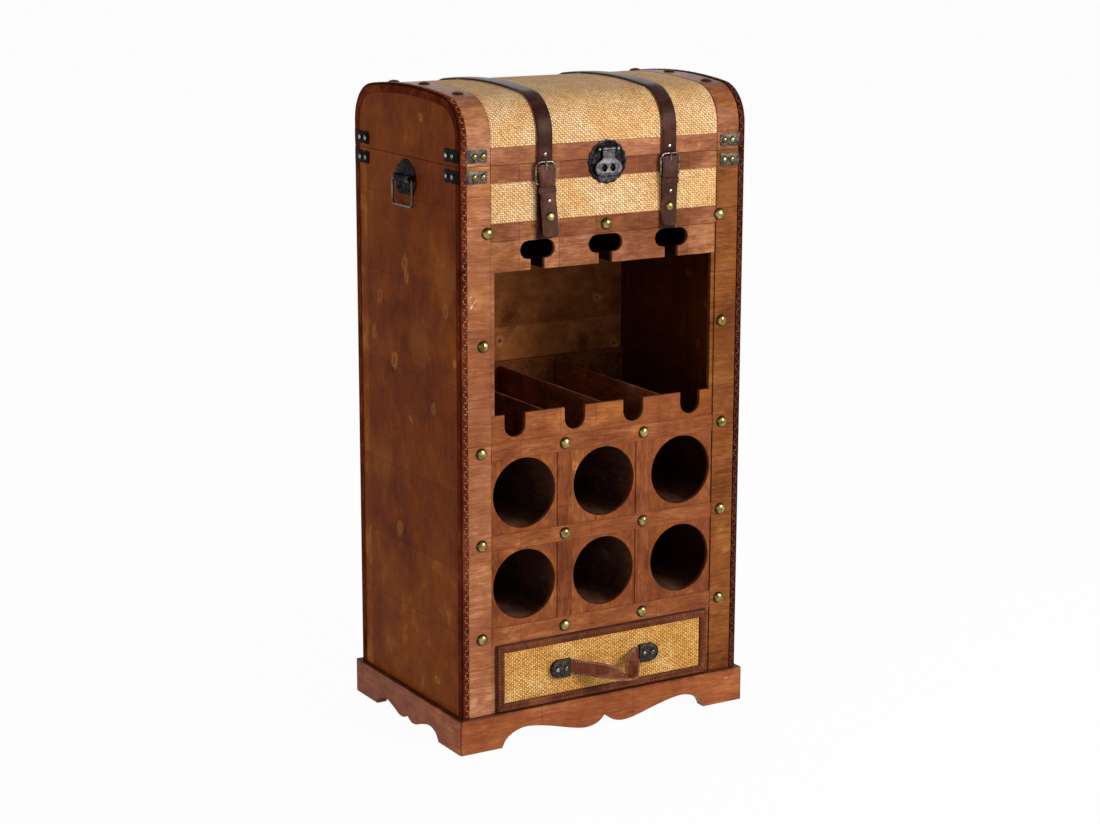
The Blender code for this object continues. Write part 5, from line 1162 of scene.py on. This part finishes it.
def tip_band(side, shares, drift):
    """The loose end's stations, narrowing to its rounded end."""
    run = smooth_run([(down * TIP_LENGTH, -0.0039 - 0.0031 * out) for down, out in shares], 6)
    bottom = run[-1][1]
    run = [pair for pair in run if pair[0] < TIP_LENGTH - TIP_START]
    start = run[-1][1]
    for down in even(TIP_LENGTH - TIP_ROUND, TIP_LENGTH, 8):
        run.append((down, start + (bottom - start) * (down - TIP_LENGTH + TIP_START) / TIP_START))
    stations = []
    for (down, y), before, after in beside(run):
        slope = (after[1] - before[1]) / (after[0] - before[0])
        beyond = max(0.0, (down - TIP_LENGTH + TIP_ROUND) / TIP_ROUND)
        width = math.sqrt(max(0.0, 1 - (0.84 * beyond) ** 2))
        centre = (side * STRAP_X + drift * down / TIP_LENGTH, y, TIP_TOP - down)
        stations.append((centre, (1, 0, 0), (0, -1, -slope), width))
    return Band(stations)


def buckle(x):
    """A bent wire frame with its bar and prong."""
    mesh = bmesh.new()
    y, top, low = -0.0043, 0.7615, 0.7345 + WIRE
    bend, wide = BUCKLE_REACH / 2, BUCKLE_REACH - WIRE
    path = arc((x + bend, top - bend), bend, 0, math.pi / 2, 10)
    path += arc((x - bend, top - bend), bend, math.pi / 2, math.pi, 10)
    path += arc((x - wide, low), WIRE, math.pi, math.pi * 3 / 2, 4)
    path += arc((x + wide, low), WIRE, -math.pi / 2, 0, 4)
    tube(mesh, [(a, y, b) for a, b in path], WIRE, 12, (0, 1, 0), closed=True)
    tube(mesh, [(x + a, -0.0033, 0.7525) for a in (-BUCKLE_REACH, BUCKLE_REACH)], 0.0007, 10, (0, 1, 0))
    tube(mesh, [(x + a, y, z) for a, y, z in PRONG], 0.0010, 10, (1, 0, 0))
    return mesh


rivets, studs, anchor_studs = bmesh.new(), bmesh.new(), bmesh.new()
for side, name, shares, drift in ((-1, "left", LOOSE, 0.004), (1, "right", SNAPPED, 0.0)):
    x = side * STRAP_X
    mesh = bmesh.new()
    lid_band(x, -STRAP_LIFT, 0.7410, 0.7750).sheet(mesh, STRAP_WIDTH, STRAP)
    piece("lid_strap_over_" + name, mesh, "lid", "strap", ["lid_strap_" + name])
    dome(rivets, (x, -0.0026, 0.7712), FORWARD, 0.0030, 0.0018, 18, 5)
    dome(studs, (x, BODY_DEPTH + 0.0026, 0.7850), (0, 1, 0), 0.0019, 0.0012, 14, 4)
    mesh = bmesh.new()
    upright(x, -STRAP_LIFT, even(0.6640, 0.7370, 12), FORWARD).sheet(mesh, STRAP_WIDTH, STRAP)
    piece("strap_anchor_band_" + name, mesh, "carcass", "strap", ["strap_anchor_" + name])
    dome(anchor_studs, (x + side * 0.001, -0.0026, 0.6745), FORWARD, 0.0016, 0.0011, 14, 4)

    mesh = bmesh.new()
    tip = tip_band(side, shares, drift)
    tip.sheet(mesh, STRAP_WIDTH, STRAP)
    piece("strap_end_" + name, mesh, "lid", "tip", ["strap_tip_" + name])
    mesh = bmesh.new()
    keeper = Band([tip.at(0.032 + shift) for shift in (-0.0038, -0.0019, 0, 0.0019, 0.0038)])
    keeper.sheet(mesh, STRAP_WIDTH + 0.0026, STRAP + 0.0024, 0.0002)
    piece("strap_keeper_" + name, mesh, "lid", "tip")
    for share, radius, height, target in ((0.50, 0.0032, 0.0020, rivets), (0.72, 0.0062, 0.0030, studs)):
        centre, across, out = tip.at(share * tip.length)[:3]
        dome(target, centre + out * (STRAP / 2 + 0.0002), out, radius, height)
    piece("buckle_" + name, buckle(x), "lid", "wire", ["strap_buckle_" + name])
piece("strap_studs", studs, "lid", "brass")
piece("strap_rivets", rivets, "lid", "nickel")
piece("anchor_studs", anchor_studs, "carcass", "nickel")


# Lock

LOCK_Z = 0.7560
LOCK_RADIUS = 0.0285
LOCK_FACE = -0.0012
PIN_Y = -0.0046
PIN_Z = 0.7725
EYE_X = 0.00625
EYE_Z = PIN_Z - 0.024
# Profiles as radius and height, and the disc's as a share of its radius and y
DISC = (
    (1.0, -0.0003), (1.0, -0.0012), (0.985, -0.0017), (0.93, -0.0020),
    (0.87, -0.0018), (0.84, -0.0013), (0.55, -0.0014), (0.02, -0.0015),
)
DISC_RIVET = ((0.0026, 0), (0.0026, 0.0008), (0.0021, 0.0011), (0.0014, 0.0008), (0.0006, 0.0005))
RIVET_PLACES = ((0.0, 0.0232), (-0.0216, 0.0072), (0.0222, 0.0060), (0.0238, -0.0052))
POST = ((0.0016, 0), (0.0016, 0.0024), (0.0012, 0.0030), (0.0002, 0.0031))
PIN_END = (
    (0.0002, -0.0022), (0.0014, -0.0019), (0.0021, -0.0008),
    (0.0021, 0.0008), (0.0014, 0.0019), (0.0002, 0.0022),
)
KNUCKLE = ((0.0018, 0), (0.0026, 0.0002), (0.0026, 0.0184), (0.0018, 0.0186))
HASP = (
    (0.455, 0.06), (0.44, 0.26), (0.50, 0.37), (0.72, 0.46), (0.93, 0.57),
    (1, 0.70), (0.95, 0.84), (0.78, 0.95), (0.56, 1),
)


def lock_disc():
    """The whole scalloped plate: a raised rim round a slightly sunk middle."""
    mesh = bmesh.new()
    rings = []
    for share, y in DISC:
        ring = []
        for angle in circle(192):
            bite = 0.0013 * (0.5 - 0.5 * math.cos(16 * angle)) if share > 0.9 else 0
            radius = (LOCK_RADIUS - bite) * share
            ring.append(Vector((radius * math.cos(angle), y, LOCK_Z + radius * math.sin(angle))))
        rings.append(ring)
    loft(mesh, rings)
    for x, z in RIVET_PLACES:
        turned(mesh, DISC_RIVET, (x, LOCK_FACE, LOCK_Z + z), FORWARD, 16)
    return mesh


def half_disc(keep, edge):
    """The disc's half under or over the edge, closed where it is cut."""
    mesh = lock_disc()
    whole = [*mesh.verts, *mesh.edges, *mesh.faces]
    plane = dict(plane_co=(0, 0, edge), plane_no=(0, 0, -keep))
    cut = bmesh.ops.bisect_plane(mesh, geom=whole, clear_outer=True, **plane)["geom_cut"]
    bmesh.ops.holes_fill(mesh, edges=[item for item in cut if isinstance(item, bmesh.types.BMEdge)])
    return mesh


mesh = half_disc(-1, CARCASS_TOP)
for side in (-1, 1):
    turned(mesh, POST, (side * EYE_X, LOCK_FACE, EYE_Z), FORWARD, 16)
piece("lock_disc_lower", mesh, "carcass", "iron", ["lock_plate_lower"])

mesh = half_disc(1, LID_BOTTOM)
ear = arc((PIN_Y, PIN_Z), 0.0025, math.pi * 3 / 2, math.pi / 2, 10)
ear += [(-0.0010, PIN_Z + 0.0025), (-0.0010, PIN_Z - 0.0025)]
for side in (-1, 1):
    plate(mesh, [ear], on_side, side * 0.0099, side * 0.0119, 0.0003)
piece("lock_disc_upper", mesh, "lid", "iron", ["lock_plate_upper"])

mesh = bmesh.new()
for side in (-1, 1):
    turned(mesh, PIN_END, (side * 0.0140, PIN_Y, PIN_Z), (1, 0, 0), 18)
turned(mesh, ((0.0013, 0), (0.0013, 0.0270)), (-0.0135, PIN_Y, PIN_Z), (1, 0, 0), 16)
piece("lock_pin", mesh, "lid", "nickel")

mesh = bmesh.new()
half = smooth_run([(0.01975 * a, PIN_Z - 0.0339 * b) for a, b in HASP], 4)
outlines = [half + [(-x, z) for x, z in reversed(half)]]
for side in (-1, 1):
    outlines.append([(side * EYE_X + 0.0037 * math.cos(a), EYE_Z + 0.0050 * math.sin(a)) for a in circle(24)])
plate(mesh, outlines, on_front, PIN_Y + 0.0007, PIN_Y - 0.0008, 0.0004)
turned(mesh, KNUCKLE, (-0.0093, PIN_Y, PIN_Z), (1, 0, 0), 20)
piece("hasp_plate", mesh, "hasp", "steel", ["lock_hasp"])


# Side handles

BARREL_X = 0.217947
BARREL_Z = 0.7330
HALF_PLATE = (
    (0.62, 0), (0.78, 0.06), (0.84, 0.16), (1, 0.26), (1, 0.58),
    (0.88, 0.66), (0.84, 0.78), (0.60, 0.84), (0.40, 0.95), (0.16, 1),
)
BARREL = (
    (0.0023, 0), (0.0042, 0.0), (0.0046, 0.0004), (0.0046, 0.0022), (0.0041, 0.0026),
    (0.0041, 0.0434), (0.0046, 0.0438), (0.0046, 0.0456), (0.0042, 0.0460), (0.0023, 0.0460),
)
COLLAR = ((0.0041, -0.0003), (0.0049, 0.0), (0.0050, 0.0006), (0.0049, 0.0012), (0.0041, 0.0015))


def side_handle(side, name):
    """The plate with its barrel and rivets, the collars, in a brighter metal that paints their glint, and the
    bail that hangs in the barrel.
    """
    shares = smooth_run(HALF_PLATE + tuple((-a, b) for a, b in reversed(HALF_PLATE)), 4, closed=True)
    outline = [(MIDDLE_Y + 0.0275 * a, 0.7115 + 0.0455 * min(b, 1.004)) for a, b in shares]
    x, z = side * BARREL_X, BARREL_Z
    mesh = bmesh.new()
    plate(mesh, [outline], on_side, side * 0.2124, side * 0.2136, 0.0005)
    plate(mesh, [inset(outline, 0.0022)], on_side, side * 0.2134, side * 0.2140, 0.0003)
    turned(mesh, BARREL, (x, MIDDLE_Y - 0.023, z), (0, 1, 0))
    seat = (MIDDLE_Y - 0.0225, MIDDLE_Y + 0.0225)
    block(mesh, (side * 0.2130, side * 0.2160), seat, (z - 0.0028, z + 0.0028), 0.0003)
    for y, level in ((-0.0205, 0.7175), (0.0205, 0.7175), (0.0, 0.7515)):
        dome(mesh, (side * 0.2139, MIDDLE_Y + y, level), (side, 0, 0), 0.0021, 0.0013, 14, 4)
    piece("side_plate_" + name, mesh, "carcass", "iron", ["side_handle_plate_" + name])
    # Rings round the barrel in the brighter wire metal: real rings, with a painted glint on the dark barrel.
    mesh = bmesh.new()
    for start in (-0.0214, -0.0176, 0.0166, 0.0204):
        turned(mesh, COLLAR, (x, MIDDLE_Y + start, z), (0, 1, 0))
    piece("side_collars_" + name, mesh, "carcass", "wire")
    run = [(0.0170, z)] + arc((0.024, z - 0.003), 0.003, math.pi / 2, 0, 6)
    run += arc((0.021, z - 0.029), 0.006, 0, -math.pi / 2, 8)
    run += [(-a, b) for a, b in reversed(run)]
    mesh = bmesh.new()
    tube(mesh, [(x, MIDDLE_Y + a, b) for a, b in run], 0.0017, 12, (1, 0, 0))
    piece("side_bail_" + name, mesh, f"handle_{name}", "bail", ["side_handle_bail_" + name])


side_handle(-1, "left")
side_handle(1, "right")


# Drawer front

DRAWER_X = 0.1628
DRAWER_LOW, DRAWER_HIGH = 0.0483, 0.1373
MIDDLE_Z = (DRAWER_LOW + DRAWER_HIGH) / 2
HALF_DRAWER = (DRAWER_HIGH - DRAWER_LOW) / 2
# The frame's section as the distance inward and y, each point's place across it in the UV map,
# and the shares of each side's length where it has a ring of points
FRAME = (
    (0.0, -0.0008), (0.0, -0.0026), (0.0003, -0.0033), (0.0010, -0.0037), (0.0030, -0.0034),
    (0.0052, -0.0038), (0.0078, -0.0037), (0.0092, -0.0033), (0.0099, -0.0026), (0.0100, -0.0008),
)
FRAME_ACROSS = (0.005, 0.005, 0.0048, 0.0040, 0.0018, 0.0, -0.0028, -0.0042, -0.0050, -0.0050)
FRAME_SHARES = (0.0, 0.012, 0.04, 0.2, 0.4, 0.6, 0.8, 0.96, 0.988, 1.0)
WHIP_LINE = (0.0030, -0.0034)


def frame_sides(inward, y):
    """The two ends of each side of the drawer's frame."""
    x, z = DRAWER_X - inward, HALF_DRAWER - inward
    corners = [Vector((a * x, y, MIDDLE_Z + b * z)) for a, b in ((-1, -1), (1, -1), (1, 1), (-1, 1))]
    return zip(corners, corners[1:] + corners[:1])


straw_sheet(
    "drawer_straw", (-0.1525, 0.1525), (0.0586, 0.1270), -0.0018, -0.0008, "drawer", "straw_gold",
    "drawer_straw_panel",
)
mesh = bmesh.new()
for lines in zip(*[frame_sides(*point) for point in FRAME]):
    rings = [[start.lerp(end, share) for start, end in lines] for share in FRAME_SHARES]
    for point in rings[0] + rings[-1]:
        point.y += 0.0004 if point.y < -0.002 else 0
    loft(mesh, rings, u=[share * 0.3 for share in FRAME_SHARES], v=FRAME_ACROSS)
piece("drawer_frame", mesh, "drawer", "frame", ["drawer_leather_frame"])

mesh = bmesh.new()
for start, end in frame_sides(*WHIP_LINE):
    along = (end - start).normalized()
    slant = Vector((along.z, 0, -along.x)) * -0.0013 + along * 0.0008
    for index in range(int(((end - start).length - 0.004) / WHIP_PITCH)):
        middle = start + along * (0.0024 + index * WHIP_PITCH)
        stitch(mesh, middle - slant, middle + slant, FORWARD, 0.0006)
piece("drawer_frame_stitches", mesh, "drawer", "thread")


# Drawer handle

HANDLE_BACK = -0.0021
HANDLE_THICK = 0.0025
PLATE_HALF = 0.0125
# The strap's middle line as x, y and height over the drawer's middle, then its twist and share of width
HANDLE = (
    (-0.0740, -0.0034, 0, 0, 1), (-0.0526, -0.0034, 0, 0, 1), (-0.0419, -0.0092, -0.0016, -2, 1),
    (-0.0311, -0.0165, -0.0028, -8, 1), (-0.0205, -0.0240, -0.0045, -20, 1),
    (-0.0097, -0.0312, -0.0070, -36, 1),
    (0.0018, -0.0372, -0.0110, -60, 0.97), (0.0114, -0.0405, -0.0150, -84, 0.90),
    (0.0175, -0.0410, -0.0170, -98, 0.84), (0.0218, -0.0382, -0.0156, -96, 0.86),
    (0.0253, -0.0325, -0.0112, -86, 0.94), (0.0315, -0.0245, -0.0060, -70, 1),
    (0.0400, -0.0150, -0.0018, -46, 1),
    (0.0476, -0.0075, 0.0002, -20, 1), (0.0526, -0.0036, 0, -4, 1), (0.0740, -0.0034, 0, 0, 1),
)

plates, rivets = bmesh.new(), bmesh.new()
half_plate = [(0.05405, MIDDLE_Z + PLATE_HALF), (0.05405, MIDDLE_Z - PLATE_HALF)]
half_plate += arc((0.07105, MIDDLE_Z), PLATE_HALF, -math.pi / 2, math.pi / 2, 24)
for side in (-1, 1):
    outline = [(side * a, b) for a, b in half_plate]
    plate(plates, [outline, inset(outline, 0.0016)], on_front, HANDLE_BACK, HANDLE_BACK - 0.0047, 0.0006)
    plate(plates, [inset(outline, 0.0012)], on_front, HANDLE_BACK - 0.0030, HANDLE_BACK - 0.0042, 0.0003)
    for x in (0.0610, 0.0742):
        dome(rivets, (side * x, HANDLE_BACK - 0.0042, MIDDLE_Z), FORWARD, 0.0036, 0.0024, 18, 5)
replaced = ["drawer_handle_plate_left", "drawer_handle_plate_right"]
piece("handle_plates", plates, "drawer", "bronze", replaced)
piece("handle_rivets", rivets, "drawer", "nickel")

stations = []
for (x, y, z, twist, width), before, after in beside(smooth_run(HANDLE, 6)):
    along = (Vector(after[:3]) - Vector(before[:3])).normalized()
    level = (Vector((0, 0, 1)) - along.z * along).normalized()
    wide = Matrix.Rotation(math.radians(twist), 3, along) @ level
    stations.append(((x, y, MIDDLE_Z + z), wide, along.cross(wide), width))
strap = Band(stations)
mesh = bmesh.new()
strap.sheet(mesh, 0.0200, HANDLE_THICK, 0.0002)
piece("handle_strap", mesh, "drawer", "handle", ["drawer_handle_strap"])
mesh = bmesh.new()
for offset in (-0.0078, 0.0078):
    strap.stitches(mesh, offset, HANDLE_THICK / 2 + 0.00012, 0.024, 0.0030, 0.00042)
piece("handle_strap_stitches", mesh, "drawer", "thread_pale")


# Floor and background

FLOOR_RADIUS = 60
FLOOR_GLOW = 0.965

mesh = bmesh.new()
bmesh.ops.create_circle(mesh, cap_ends=True, segments=96, radius=FLOOR_RADIUS)
floor_data = bpy.data.meshes.new("floor")
mesh.to_mesh(floor_data)
mesh.free()
link("floor", floor_data)
paper = Surface("floor_paper", ((250, 250, 250), (252, 252, 252)), roughness=0.9, specular=0.1)
tooth = paper.noise(paper.place(), 40, 2, 0.5)
floor_data.materials.append(paper.done(paper.ramp(tooth, (0.3, 0.7), paper.tones)))
glow = paper.add("Emission").outputs[0]
both = paper.node("MixShader", paper.seen_rays() * FLOOR_GLOW, paper.shader.outputs[0], glow)
paper.fill(paper.tree.nodes["Material Output"], Surface=both)

sky = Graph(bpy.data.worlds.new("studio"))
bpy.context.scene.world = sky.owner
height = sky.parts(sky.node("TexCoord", output="Generated"))[2]
lighting, seen = sky.steps(height, 0.10, 0.70, 0.52, 0.31), sky.steps(height, 0.22, 0.60, 1.0, 0.35)
strength = sky.mix(sky.seen_rays(), lighting, seen, "FLOAT")
sky.fill(sky.tree.nodes["Background"], Strength=strength, Color=WHITE)


# Lamps and camera

AIM = (0, 0, 0.45)


def lamp(name, place, size, power):
    data = bpy.data.lights.new(name, "AREA")
    data.shape = "SQUARE"
    data.size = size
    data.energy = power
    made = link(name, data)
    made.visible_camera = False
    made.location = place
    made.rotation_mode = "QUATERNION"
    made.rotation_quaternion = (Vector(AIM) - Vector(place)).to_track_quat("-Z", "Y")


lamp("key", (1.65, -2.7, 1.6), 1.5, 93)
lamp("fill", (-3.0, -0.5, 0.8), 1.4, 17)

camera_data = bpy.data.cameras.new("camera")
camera_data.sensor_width = 36.0
camera_data.lens = 79.76
camera_data.clip_end = 200
camera = link("camera", camera_data)
camera.location = (-1.6452, -2.6120 - CENTRE_Y, 1.1309)
yaw, pitch, roll = math.radians(30.88), math.radians(-12.80), math.radians(0.13)
forward = Vector((math.sin(yaw) * math.cos(pitch), math.cos(yaw) * math.cos(pitch), math.sin(pitch)))
camera.rotation_mode = "QUATERNION"
camera.rotation_quaternion = forward.to_track_quat("-Z", "Y") @ Matrix.Rotation(roll, 3, "Z").to_quaternion()
bpy.context.scene.camera = camera
bpy.context.scene.view_settings.view_transform = "Standard"
